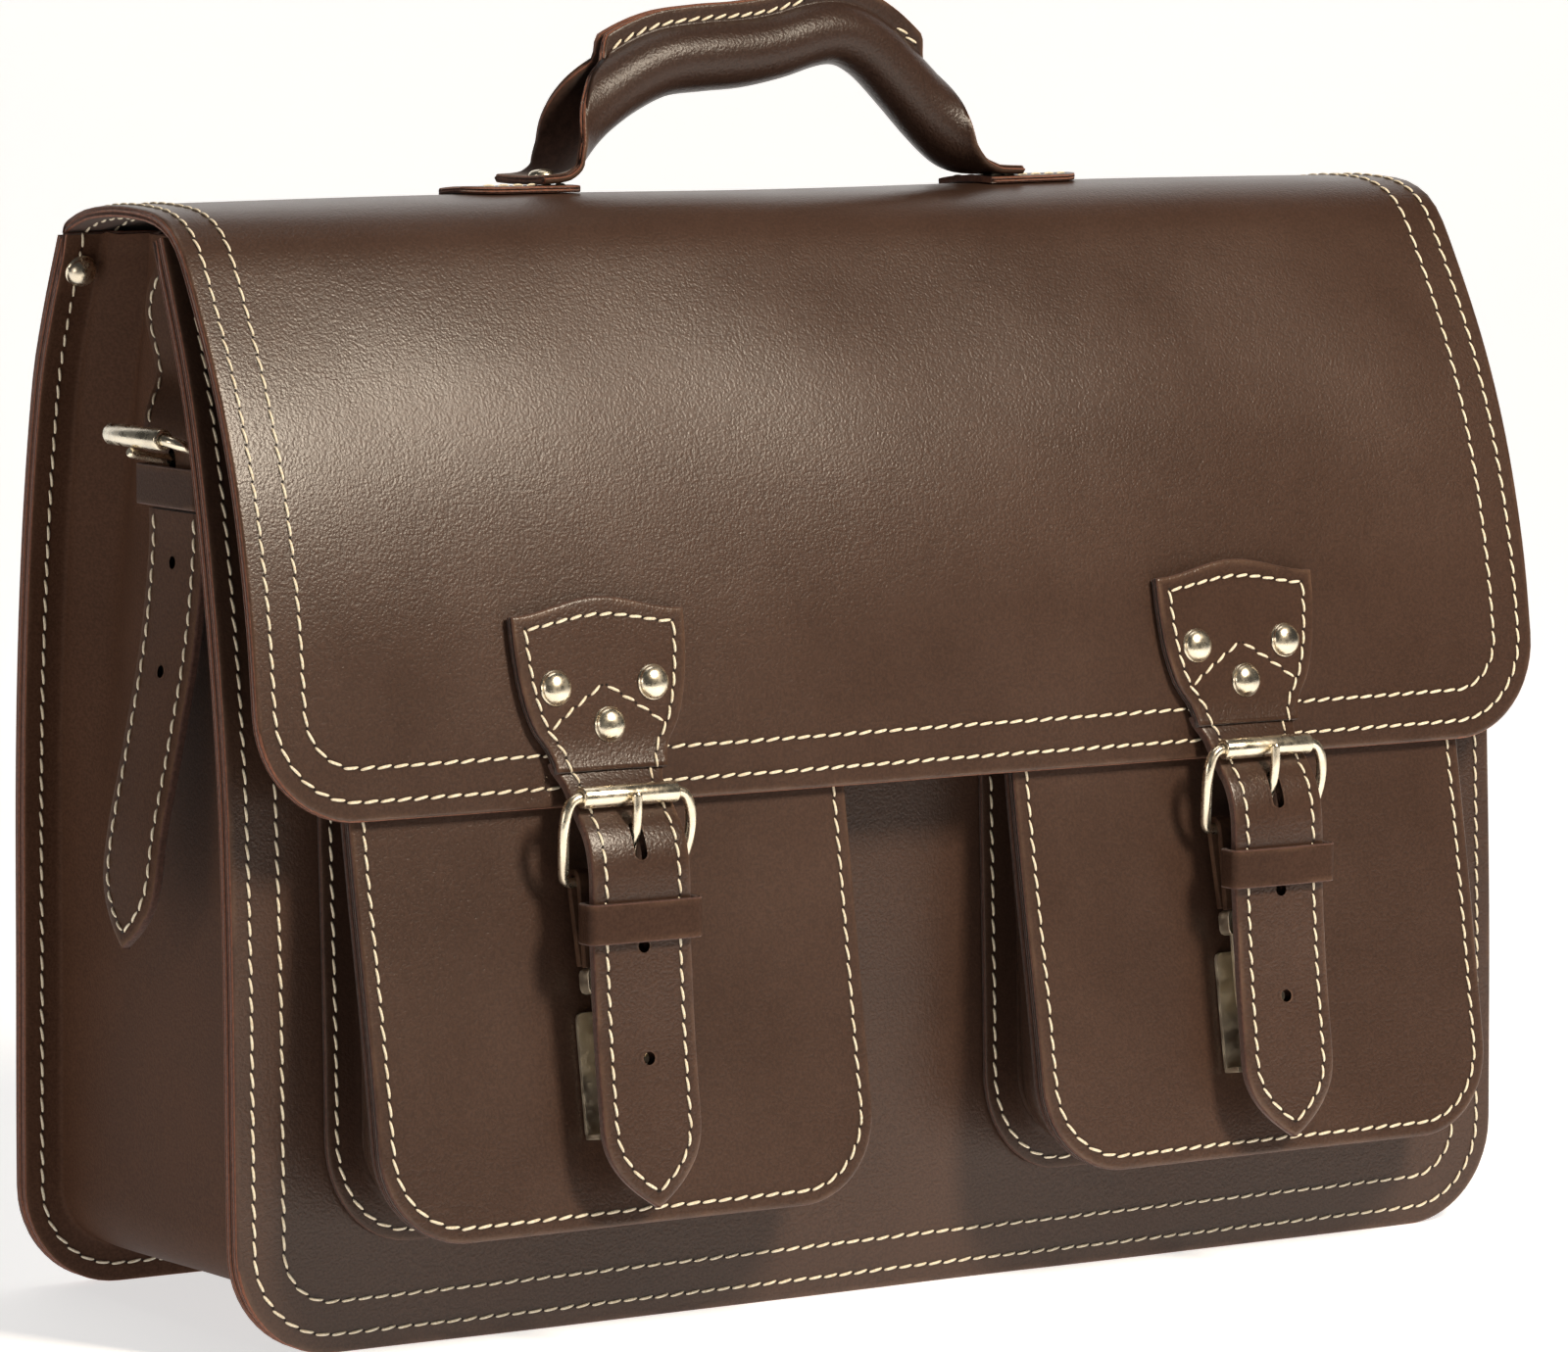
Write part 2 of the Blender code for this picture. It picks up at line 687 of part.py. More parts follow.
def make_chape(name, face, heel_at, half, outer_leg, inner_leg):
    """A folded strip that holds the heel bar, slotted for the tongue."""
    radius = BAR + GAP + 0.9
    run = [*outer_leg]
    for step in range(7):
        turn = math.radians(180 - 180 * step / 6)
        run.append((heel_at[0] + radius * math.cos(turn), heel_at[1] + radius * math.sin(turn)))
    path = Profile([*run, *inner_leg], steps=0)

    def place(u, mark):
        return face.point(u * half, *path.at(mark))

    made = sheet(name, [-1, 1], list(path.marks), place, 1.8, offset=0.0)
    corners = [face.point(u, heel_at[0] + 8 * u / 2.9, heel_at[1]) for u in (-2.9, 2.9)]
    low = [min(pair) for pair in zip(*corners)]
    high = [max(pair) for pair in zip(*corners)]
    slot = cutter("gap_" + name, box_mesh((*low[:2], low[2] - 4.5), (*high[:2], high[2] + 8)))
    return leather(cut(made, slot), 0.9)


def pocket_face(z, out):
    """A point this far out from the pocket's face, at about this height."""
    return POCKET.at(POCKET.mark_at_z(z), out)


def catch_plate(name, centre, low, high, out, half_x, half_thick, window=None):
    """A flat metal plate lying along the pocket's face, out from it."""
    foot, top = Vector((centre, *pocket_face(low, out))), Vector((centre, *pocket_face(high, out)))
    up = (top - foot).normalized()
    middle = (foot + top) / 2
    half_y = (top - foot).length / 2
    splines = [rounded_rectangle(half_x, half_y, min(1.5, 0.6 * half_y), 3)]
    if window:
        window_x, window_low, window_high = window
        shift = (window_low + window_high) / 2 - (low + high) / 2
        hole = rounded_rectangle(window_x, (window_high - window_low) / 2, 0.6, 2)
        splines.append([(x, y + shift) for x, y in hole])
    made = flat_outline(name, splines, half_thick)
    outward = Vector((1, 0, 0)).cross(up)
    return place_along(made, middle, outward, (1, 0, 0))


def joined(name, pieces):
    """One solid from several that overlap."""
    graph = bpy.context.evaluated_depsgraph_get()
    graph.update()
    meshes = []
    for piece in pieces:
        bpy.context.view_layer.update()
        mesh = bpy.data.meshes.new_from_object(piece.evaluated_get(graph))
        bm = bmesh.new()
        bm.from_mesh(mesh)
        bmesh.ops.remove_doubles(bm, verts=bm.verts, dist=0.00001)
        bmesh.ops.transform(bm, matrix=piece.matrix_basis, verts=bm.verts)
        bmesh.ops.recalc_face_normals(bm, faces=bm.faces)
        meshes.append(bm)
        bpy.data.objects.remove(piece, do_unlink=True)
    made = mesh_piece(name, meshes[0])
    for index, bm in enumerate(meshes[1:]):
        tool = cutter(f"{name}_piece_{index}", bm)
        union = made.modifiers.new("join", "BOOLEAN")
        union.operation = "UNION"
        union.object = tool
    return made


def make_catch(side, centre, body):
    """Tray on the pocket, sprung lever with a nose, and the strap's windowed tongue over the nose."""
    low, high = CATCH_TOP - CATCH_HEIGHT, CATCH_TOP
    base = catch_plate("base", centre, low, high, 0.9, CATCH_HALF_WIDTH, 0.6)
    lip = catch_plate("lip", centre, low, low + 1.4, 3.7, CATCH_HALF_WIDTH, 3.2)
    ROOT.add(metal(joined("catch_tray_" + side, [base, lip])))
    lever_low = low + 2.2
    lever_body = Body("catch_lever_pivot_" + side, centre, *pocket_face(lever_low, 3.6), ROOT)
    blade = catch_plate("blade", centre, lever_low, high - 4, 3.6, 4.0, 0.5)
    nose = catch_plate("nose", centre, high - 9, high - 5.5, 4.6, 3.0, 1.4)
    lever_body.add(metal(joined("catch_lever_" + side, [blade, nose]), 0.35))
    tongue = catch_plate(
        "tongue", centre, high - 16, high + 9, 5.4, 10.5, 0.6, window=(4.6, high - 12.5, high - 3.5)
    )
    clamp = catch_plate("clamp", centre, high + 4.5, high + 11, 5.4, 12.5, 2.3)
    body.add(metal(joined("clasp_tongue_" + side, [tongue, clamp])))


def make_closures():
    for side, _, index in SIDES:
        centre, body = STRAP_X[index], STRAPS[side]
        face = Face(0, centre, 0)
        make_tab(side, centre)
        marks = [0, 2.5, 5, 8, 11.5, 15, 19, 24, 30, 40, 52, 66, 76]
        strap = strap_sheet("strap_" + side, face, STRAP, 16.2, STRAP_THICK, marks)
        slot = hole_cutter(
            "slot_" + side, face.point(0, -32.2, 130.0), (0, -0.8, 0.45), 1.9, 6.6, (0, 0.45, 0.8)
        )
        body.add(leather(punch_holes(cut(strap, slot), face, STRAP, (103.8, 75.2))))
        climb = ((0.22, 3.6), (0.45, 4.6), (0.7, 4.8), (1.0, ROLLER_OUTER + GAP + 1.35), (1.08, 3.9))
        make_buckle("", side, face, ROLLER_AT, HEEL_AT, climb, body)
        keeper_body = Body("keeper_slide_" + side, centre, *KEEPER_AT, body)
        keeper_body.add(make_keeper("keeper_" + side, face, KEEPER_AT, STRAP_THICK))
        body.add(make_chape("chape_" + side, face, HEEL_AT, 13.9, [(-30.0, 98.6)], [(-27.4, 98.6)]))
        make_catch(side, centre, body)


# Side straps


def side_lean(z):
    return SIDE_STRAP_LEAN * smoothstep(228, 268, z)


def side_wall(z):
    """How far in the side wall's outer face is beside the strap, with the bag's middle at 0."""
    front, back = FRONT.y_at(z), BACK.y_at(z)
    middle = SIDE_STRAP_Y + side_lean(z)
    return WALL_INSET - BAG_WIDTH / 2 + main_fold(z, (middle - front) / (back - front))


def make_side_strap(side, sign):
    """The strap sewn to the side wall, out through its buckle and keeper, and its loose tail."""
    face = Face(sign * 90, 0, SIDE_STRAP_Y)
    on_wall = [(side_wall(z) - 1.1 - SIDE_STRAP_THICK / 2, z) for z in (252, 258, 265, 272, SIDE_STRAP_TOP)]
    path = Profile((*SIDE_LOOP, *on_wall), steps=6)
    marks = [0, 5.5, 11, 15.5, 19.5, 23, 26, 29, 33, 38, 43]
    strap = strap_sheet(
        "side_strap_" + side, face, path, STRAP_WIDTH / 2, SIDE_STRAP_THICK, marks,
        lean=lambda z: sign * side_lean(z),
    )
    slot = hole_cutter(
        "side_slot_" + side, face.point(0, -191.6, 226.2), face.vector(0, 1, 0), 1.9, 2.6
    )
    ROOT.add(leather(cut(strap, slot)))
    climb = ((0.22, 3.6), (0.45, 4.5), (0.7, 4.6), (1.0, ROLLER_OUTER + GAP + 1.35), (1.12, 3.9))
    make_buckle("side_", side, face, SIDE_ROLLER_AT, SIDE_HEEL_AT, climb, ROOT)
    ROOT.add(make_keeper("side_keeper_" + side, face, SIDE_KEEPER_AT, SIDE_STRAP_THICK))
    outer_leg = [(side_wall(z) - 3.6, z) for z in (194, 204, 214, 225.2)]
    inner_leg = [(side_wall(z) - 1.5, z) for z in (225.2, 214, 204, 194)]
    ROOT.add(make_chape("side_chape_" + side, face, SIDE_HEEL_AT, 13.9, outer_leg, inner_leg))
    top = SIDE_TAIL[0]
    pivot = face.point(0, top[0] - SIDE_STRAP_THICK / 2, top[1] + GAP)
    tail_body = Body("side_tail_swing_" + side, *pivot, ROOT)
    path = Profile(SIDE_TAIL)
    marks = [0, 20, 40, 58, 74, 90]
    tail = strap_sheet("side_tail_" + side, face, path, STRAP_WIDTH / 2, SIDE_STRAP_THICK, marks)
    tail_body.add(leather(punch_holes(tail, face, path, (200.0, 172.0))))


def make_stud(side, sign):
    """A domed stud through the gusset's back flange, facing forwards under the flap."""
    mark = BACK.mark_at_z(STUD_HEIGHT)
    y, z = BACK.at(mark, PANEL_THICK + SEAM_GAP + GUSSET_THICK + GAP)
    x = sign * (BAG_WIDTH / 2 - STUD_INSET)
    ROOT.add(metal(dome("gusset_stud_" + side, 4.3, 4.2, (x, y, z), (0, *BACK.direction(mark)))))


# Handle


def handle_section(share):
    """Half the arc's angle, its length and the seam fin's height, from foot (0) to middle (1)."""
    shares = (0.0, 0.05, 0.12, 0.25, 0.40, 0.46, 1.0)
    angle = np.interp(share, shares, (12, 30, 62, 112, 155, 168, 170))
    arc = np.interp(share, shares, (4.5, 9, 14.5, 18.5, 22, 23, 23))
    fin = np.interp(share, (0.0, 0.40, 0.44, 1.0), (0.4, 0.4, 5.6, 6.0))
    return math.radians(angle), float(arc), float(fin)


def make_handle():
    mirrored = [(-x, z) for x, z in reversed(HANDLE_PATH[:-1])]
    path = Profile((*HANDLE_PATH, *mirrored), steps=6)
    half_length = path.length / 2

    def place(across, mark):
        share = 1 - abs(mark - half_length) / half_length
        angle, arc, fin = handle_section(share)
        rate = angle / arc
        swept = min(abs(across) / 0.8, 1.0) * arc
        rise = max(abs(across) - 0.8, 0.0) / 0.2 * fin
        sideways = math.copysign(math.sin(rate * swept) / rate, across) if across else 0.0
        out = (1 - math.cos(rate * swept)) / rate + rise
        x, z = path.at(mark, out)
        return x, HANDLE_Y + sideways, z

    acrosses = [-1, -0.8, -0.65, -0.5, -0.34, -0.17, 0, 0.17, 0.34, 0.5, 0.65, 0.8, 1]
    half_shares = [0, 0.05, 0.12, 0.19, 0.26, 0.33, 0.40, 0.44, 0.55, 0.68, 0.84]
    marks = [half_length * share for share in half_shares]
    marks += [half_length] + [path.length - mark for mark in reversed(marks)]
    cover = sheet("handle_cover", acrosses, marks, place, HANDLE_THICK, offset=0.0)
    HANDLE_BODY.add(leather(cover))
    core = []
    for share in steps_between(0.46, 1.54, 12):
        x, z = path.at(half_length * share, 7.7)
        core.append((x, HANDLE_Y, z))
    HANDLE_BODY.add(finish_piece(wire("handle_core", core, 5.6, sides=1), LINING, 0.8))


def make_handle_tabs():
    start, end, half = HANDLE_TAB
    low, high = FLAP.mark_at_y(HANDLE_Y - half), FLAP.mark_at_y(HANDLE_Y + half)
    for side, sign, _ in SIDES:

        def place(u, v):
            rounding = math.sqrt(max(0.0, 1 - (max(u - 0.75, 0.0) / 0.27) ** 2))
            middle = (low + high) / 2
            y, z = FLAP.at(middle + (v - 0.5) * (high - low) * rounding, GAP + 1.8)
            return sign * (start + (end - start) * u), y, z

        us = [0, 0.5, 0.75, 0.85, 0.93, 0.98, 1]
        tab = sheet("handle_tab_" + side, us, [0, 0.25, 0.5, 0.75, 1], place, 1.8, turned=sign < 0)
        FLAP_BODY.add(leather(tab, 1.2))
        mark = FLAP.mark_at_y(HANDLE_Y)
        y, z = FLAP.at(mark, 2 * GAP + 1.8)
        head = dome("handle_rivet_" + side, 3.6, 1.6, (sign * 70.0, y, z), (0, *FLAP.direction(mark)))
        FLAP_BODY.add(metal(head))


make_panels()
make_gussets()
make_flap()
make_closures()
for side_name, side_sign, _ in SIDES:
    make_side_strap(side_name, side_sign)
    make_stud(side_name, side_sign)
make_handle()
make_handle_tabs()
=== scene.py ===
"""The looks of a leather satchel bag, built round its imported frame.

Lengths are in millimetres, worked out with Y = 0 on the front panel's face as the solids are, and
moved to the frame's own middle when a mesh is made. Every piece of leather is a sheet with a grain
side, a flesh side and a rounded cut edge, and every seam is real thread.
"""

import json
import math

import bmesh
import bpy
import numpy as np
from mathutils import Matrix, Vector

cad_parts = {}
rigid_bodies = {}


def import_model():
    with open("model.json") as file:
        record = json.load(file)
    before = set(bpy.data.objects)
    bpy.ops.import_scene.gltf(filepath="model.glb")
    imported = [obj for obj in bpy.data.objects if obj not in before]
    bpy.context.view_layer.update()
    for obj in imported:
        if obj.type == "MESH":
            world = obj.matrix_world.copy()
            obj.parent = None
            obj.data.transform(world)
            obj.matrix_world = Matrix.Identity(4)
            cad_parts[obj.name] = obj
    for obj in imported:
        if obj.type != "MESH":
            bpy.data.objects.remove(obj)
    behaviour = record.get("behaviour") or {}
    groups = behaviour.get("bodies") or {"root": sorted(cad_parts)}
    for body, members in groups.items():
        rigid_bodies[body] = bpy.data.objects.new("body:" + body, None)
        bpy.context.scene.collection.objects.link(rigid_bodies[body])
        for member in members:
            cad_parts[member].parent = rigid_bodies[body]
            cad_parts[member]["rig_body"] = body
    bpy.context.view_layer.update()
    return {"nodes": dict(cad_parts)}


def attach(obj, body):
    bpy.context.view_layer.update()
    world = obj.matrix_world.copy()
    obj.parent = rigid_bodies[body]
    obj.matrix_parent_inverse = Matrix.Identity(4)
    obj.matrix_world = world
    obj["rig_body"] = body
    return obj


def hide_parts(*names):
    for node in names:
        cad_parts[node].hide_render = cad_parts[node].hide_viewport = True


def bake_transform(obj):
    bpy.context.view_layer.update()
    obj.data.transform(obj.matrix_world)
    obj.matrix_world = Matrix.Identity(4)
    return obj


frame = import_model()

MM = 0.001
MIDDLE_Y = 39.65
SIDES = (("left", -1, -102.0), ("right", 1, 99.0))  # name, sign, and where the closing strap is

# Leather
PANEL_THICK = 3.0
GUSSET_THICK = 2.4
WALL = 13.4  # from the panels' edges to the gusset's inner face
FLAP_THICK = 3.2
STRAP_THICK = 3.0
SIDE_STRAP_THICK = 2.6
STRAP_HALF = 14.5
STRAP_TIP = 22.0  # how long its pointed end is
HOLE_RADIUS, SLOT_RADIUS = 1.7, 1.9
SEAM_GAP = 0.45
GAP = 0.3
HALF_WIDTH = 200.0
PANEL_CORNER = 28.0

# Side-view profiles as (y, z), from the bottom up, of the faces that show
FRONT_PROFILE = ((0, 0), (0, 15), (1.2, 60), (2, 120), (4, 155), (10.5, 197), (21.1, 245), (35.5, 284))
BACK_PROFILE = ((124, 0), (124, 62), (122, 136), (117.8, 199), (111, 240), (103.8, 261), (93.9, 282.4))
FLAP_PROFILE = (
    (-18.5, 138.5), (-15, 164), (-10.8, 190), (-3.2, 220), (6.5, 246), (19, 270), (28.5, 283.7),
    (39.5, 289.4), (53, 291.1), (66.5, 291.1), (79, 289.7), (87.5, 287.4), (92.3, 285.2), (93.7, 283),
)
FLAP_HALF = (201.5, 198.8)

# Front pockets
POCKET_X = 101.0
POCKET_HALF = 74.0
POCKET_CORNER = 24.0
POCKET_PROFILE = ((-32.6, 31.5), (-24, 84), (-15, 138), (-12.2, 156))
POCKET_BASE_DROP = 4.0
POCKET_GUSSET_THICK = 1.6

# Closing straps
TAB_OUTLINE = ((148.3, 16.4), (153, 17.8), (159, 21.6), (168, 24.2), (178, 25.4), (187, 25.7))
TAB_PEAK = 4.0
TAB_RIVETS = ((-14.5, 168.6), (14.5, 168.6), (0.6, 158.6))
STRAP_PATH = (
    (-18.3, 150.0), (-19.6, 147.2), (-21.4, 144.5), (-24.0, 141.2), (-27.6, 136.9), (-31.6, 132.2),
    (-34.0, 126), (-34.8, 118), (-34.8, 108), (-35.6, 98), (-37.4, 80), (-40.2, 60), (-43.3, 37.5),
)
ROLLER_AT = (-29.2, 142.0)
HEEL_AT = (-24.8, 120.0)
KEEPER_AT = (-34.8, 110.5)

# Straps on the sides, as (inwards, up) with the bag's middle at 0
SIDE_STRAP_Y = 45.5
SIDE_STRAP_LEAN = 9.0  # how much further back its sewn end is
SIDE_LOOP = (
    (-191.5, 213.9), (-191.5, 219), (-191.5, 224.5), (-191.8, 229), (-192.2, 233), (-191.6, 237),
    (-189.3, 241.5), (-186.6, 246.2),
)
SIDE_TAIL = (
    (-191.5, 213.3), (-191.7, 202), (-194.2, 178), (-199.2, 152), (-204.4, 128), (-207.3, 101.5),
)
SIDE_ROLLER_AT = (-202.6, 232.7)
SIDE_HEEL_AT = (-186.0, 230.2)
SIDE_KEEPER_AT = (-191.5, 219.6)

# Handle
HANDLE_Y = 67.0
HANDLE_PATH = (
    (-77, 294.6), (-70.5, 294.6), (-65, 295.8), (-60.5, 299.4), (-53, 306.4), (-43, 313.0), (-32, 317.6),
    (-20, 318.9), (-8, 319.8), (4, 322.0), (14, 324.8), (22, 325.6), (30, 322.0), (39, 313.8), (48, 304.8),
    (56, 298.2), (62, 295.4), (68, 294.6), (77, 294.6),
)
HANDLE_THICK = 2.4
HANDLE_TAB = (66.0, 98.0, 13.0)  # where it starts and ends, and half its width
HANDLE_TAB_THICK = 1.8

# Metal
BUCKLE_WIRE, PRONG_WIRE = 1.45, 1.3
ROLLER_BORE, ROLLER_RADIUS, ROLLER_HALF = 1.6, 2.8, 14.2
KEEPER_THICK, KEEPER_HEIGHT = 1.7, 10.4

# Thread: from stitch to stitch and a stitch's length, and how far in from the edge each seam is
BOARD_STITCHES = (4.8, 4.25)
STRAP_STITCHES = (4.6, 3.9)
TAB_STITCHES = (4.5, 3.8)
HANDLE_STITCHES = (4.3, 3.9)
THREAD = 0.41
THREAD_LIFT = 0.05
OUTER_SEAM, INNER_SEAM = 5.0, 13.5
POCKET_SEAM, POCKET_SIDE_SEAM, STRAP_SEAM = 3.8, 3.0, 3.6

# Camera, as it looks at the bag
AIM = (2.1, 20.35, 158.6)
AZIMUTH, ELEVATION = -32.6, 6.0
CAMERA_DISTANCE = 2008.0
LENS = 169.4


# Curves


def smooth(corners, steps=8):
    """Points on a smooth curve through the corners (Catmull-Rom)."""
    corners = [np.array(corner, float) for corner in corners]
    padded = [2 * corners[0] - corners[1], *corners, 2 * corners[-1] - corners[-2]]
    points = []
    for before, start, end, after in zip(padded, padded[1:], padded[2:], padded[3:]):
        for step in range(steps):
            t = step / steps
            points.append(0.5 * (
                2 * start
                + (end - before) * t
                + (2 * before - 5 * start + 4 * end - after) * t**2
                + (3 * start - before - 3 * end + after) * t**3
            ))
    points.append(corners[-1])
    return np.array(points)


def smoothstep(low, high, value):
    t = min(max((value - low) / (high - low), 0.0), 1.0)
    return t * t * (3 - 2 * t)


def hump(value, middle, spread):
    return math.exp(-(((value - middle) / spread) ** 2))


def mirrored(values):
    """A row of numbers that ends in its middle, with its other half."""
    return values + [-value for value in reversed(values[:-1])]


def circle(steps, quarters=4):
    """The cosine and sine at each step round a circle, or round its first quarter to the end."""
    last = steps if quarters == 4 else steps + 1
    turns = [math.pi / 2 * quarters * step / steps for step in range(last)]
    return [(math.cos(turn), math.sin(turn)) for turn in turns]


def marks_along(points):
    """How far along the line each of its points is."""
    return np.concatenate([[0], np.cumsum(np.linalg.norm(np.diff(points, axis=0), axis=1))])


def between(mark, marks, rows):
    """The row at this mark, between the nearest two."""
    return np.array([np.interp(mark, marks, column) for column in rows.T])


class Profile:
    """A smooth plane curve, measured along its own length. Its normal is on the left of its run."""

    def __init__(self, corners, steps=8):
        self.points = smooth(corners, steps) if steps else np.array(corners, float)
        self.marks = marks_along(self.points)
        self.length = float(self.marks[-1])
        slopes = np.gradient(self.points, axis=0)
        slopes /= np.linalg.norm(slopes, axis=1)[:, None]
        self.normals = np.stack([-slopes[:, 1], slopes[:, 0]], axis=1)

    def normal(self, mark):
        return between(mark, self.marks, self.normals)

    def at(self, mark, out=0.0):
        return between(mark, self.marks, self.points) + out * self.normal(mark)

    def moved(self, out):
        return Profile(self.points + out * self.normals, 0)

    def y_at(self, z):
        order = np.argsort(self.points[:, 1])
        return float(np.interp(z, self.points[order, 1], self.points[order, 0]))

    def mark_at_z(self, z):
        """How far along it is at this height, whether it climbs or falls."""
        sign = 1 if self.points[-1, 1] > self.points[0, 1] else -1
        return float(np.interp(sign * z, sign * self.points[:, 1], self.marks))

    def mark_at_y(self, y):
        return float(np.interp(y, self.points[:, 0], self.marks))


FRONT = Profile(FRONT_PROFILE)
BACK = Profile(BACK_PROFILE)
FLAP = Profile(FLAP_PROFILE)
POCKET = Profile(POCKET_PROFILE)
STRAP = Profile(STRAP_PATH)


class Face:
    """One face of the bag as axes: across it, into the bag, and up."""

    def __init__(self, angle, x, y):
        turn = math.radians(angle)
        self.across = Vector((math.cos(turn), math.sin(turn), 0))
        self.inward = Vector((-math.sin(turn), math.cos(turn), 0))
        self.centre = Vector((x, y, 0))

    def vector(self, across, inward, up):
        return self.across * across + self.inward * inward + Vector((0, 0, up))

    def point(self, across, inward, up):
        return self.centre + self.vector(across, inward, up)


# Materials


def new_material(name):
    made = bpy.data.materials.new(name)
    made.use_nodes = True
    return made, made.node_tree, made.node_tree.nodes["Principled BSDF"]


def feed(tree, node, values):
    """Fill a node's inputs; each value is another node's socket, a colour, a number, or None."""
    for key, value in values.items():
        if isinstance(value, bpy.types.NodeSocket):
            tree.links.new(value, node.inputs[key])
        elif value is not None:
            node.inputs[key].default_value = (*value, 1.0) if isinstance(value, tuple) else value


def noise(tree, scale, detail=2.0, roughness=0.5):
    coords = tree.nodes.new("ShaderNodeTexCoord").outputs["Object"]
    made = tree.nodes.new("ShaderNodeTexNoise")
    feed(tree, made, {"Vector": coords, "Scale": scale, "Detail": detail, "Roughness": roughness})
    return made.outputs["Fac"]


def ramp(tree, value, stops):
    """A colour ramp; its stops are (place, colour) with a grey given as one number."""
    made = tree.nodes.new("ShaderNodeValToRGB")
    elements = made.color_ramp.elements
    while len(elements) < len(stops):
        elements.new(0.5)
    for element, (place, color) in zip(elements, stops):
        element.position = place
        element.color = (*color, 1.0) if isinstance(color, tuple) else (color, color, color, 1.0)
    tree.links.new(value, made.inputs["Fac"])
    return made.outputs["Color"]


def mix(tree, kind, amount, first, second):
    """A colour mix; the amount and the colours may each be a socket or a plain value."""
    made = tree.nodes.new("ShaderNodeMix")
    made.data_type = "RGBA"
    made.blend_type = kind
    feed(tree, made, {0: amount, 6: first, 7: second})
    return made.outputs[2]


def calculate(tree, kind, first, second=None):
    made = tree.nodes.new("ShaderNodeMath")
    made.operation = kind
    feed(tree, made, {0: first, 1: second})
    return made.outputs[0]


def bump(tree, shader, heights):
    """Bumps laid on each other; each is (height socket, strength, distance in mm)."""
    last = None
    for height, strength, distance in heights:
        made = tree.nodes.new("ShaderNodeBump")
        values = {"Strength": strength, "Distance": distance * MM, "Height": height, "Normal": last}
        feed(tree, made, values)
        last = made.outputs["Normal"]
    feed(tree, shader, {"Normal": last})


def edge_distance(tree):
    made = tree.nodes.new("ShaderNodeAttribute")
    made.attribute_name = "edge"
    return made.outputs["Fac"]


def near(tree, distance, place, reach):
    """1 at this distance from the edge, falling to 0 this far to either side."""
    gap = calculate(tree, "ABSOLUTE", calculate(tree, "SUBTRACT", distance, place))
    fall = calculate(tree, "SUBTRACT", 1.0, calculate(tree, "DIVIDE", gap, reach))
    return calculate(tree, "MAXIMUM", fall, 0.0)


def shade(color, factor):
    return tuple(part * factor for part in color)


def grain_leather(name, color, seams=(), roughness=0.33, wear=0.5, grain=1.0, gloss=0.40):
    """Waxed grain side: fine grain, cloudy colour, lighter worn edges, and a pressed groove along each
    seam, darkened with painted shade.
    """
    made, tree, shader = new_material(name)
    clouds = noise(tree, 16, 4.0, 0.6)
    base = ramp(tree, clouds, ((0.32, shade(color, 0.88)), (0.5, color), (0.70, shade(color, 1.12))))
    fine = noise(tree, 1300, 2.0)
    base = mix(tree, "MULTIPLY", 0.8, base, ramp(tree, fine, ((0.35, 0.66), (0.65, 1.0))))
    edge = edge_distance(tree)
    patches = ramp(tree, noise(tree, 90, 3.0), ((0.35, 0.0), (0.75, 1.0)))
    worn = calculate(tree, "MULTIPLY", near(tree, edge, 0.0, 1.8), patches)
    base = mix(tree, "MIX", calculate(tree, "MULTIPLY", worn, wear), base, (0.20, 0.115, 0.072))
    heights = [(fine, 0.65 * grain, 0.19), (noise(tree, 420, 3.0), 0.16 * grain, 0.2), (clouds, 0.1, 1.6)]
    for seam in seams:
        # Each seam's groove is bumped in and its colour darkened there: painted shade.
        seam_dent_and_shade = near(tree, edge, seam, 1.3)
        base = mix(tree, "MULTIPLY", calculate(tree, "MULTIPLY", seam_dent_and_shade, 0.6), base, (0.45, 0.40, 0.38))
        heights.append((seam_dent_and_shade, -0.7, 0.45))
    spots = ramp(tree, clouds, ((0.3, roughness - 0.03), (0.7, roughness + 0.04)))
    feed(tree, shader, {"Base Color": base, "Roughness": spots, "Specular IOR Level": gloss})
    bump(tree, shader, heights)
    return made


def fibre_leather(name, color, scale, roughness=0.85):
    """Cut edges and flesh sides: matt and fibrous."""
    made, tree, shader = new_material(name)
    fibres = noise(tree, scale, 4.0, 0.7)
    base = ramp(tree, fibres, ((0.3, shade(color, 0.55)), (0.55, color), (0.75, shade(color, 1.35))))
    feed(tree, shader, {"Base Color": base, "Roughness": roughness})
    feed(tree, shader, {"Specular IOR Level": 0.25, "Sheen Weight": 0.2})
    bump(tree, shader, [(fibres, 0.8, 0.3)])
    return made


def thread_material():
    made, tree, shader = new_material("waxed_thread")
    twist = noise(tree, 1600, 2.0)
    base = ramp(tree, twist, ((0.3, (0.72, 0.60, 0.42)), (0.6, (0.93, 0.85, 0.68))))
    feed(tree, shader, {"Base Color": base, "Roughness": 0.55})
    bump(tree, shader, [(twist, 0.5, 0.15)])
    return made


def plated(name, color, roughness):
    """Polished plate, faintly hazy and scratched, with tarnish in patches."""
    made, tree, shader = new_material(name)
    tarnish = ramp(tree, noise(tree, 120, 3.0), ((0.3, shade(color, 0.82)), (0.6, color)))
    haze = ramp(tree, noise(tree, 260, 4.0, 0.7), ((0.35, roughness * 0.7), (0.7, roughness * 1.6)))
    feed(tree, shader, {"Base Color": tarnish, "Roughness": haze, "Metallic": 1.0})
    bump(tree, shader, [(noise(tree, 700, 3.0), 0.08, 0.05)])
    return made


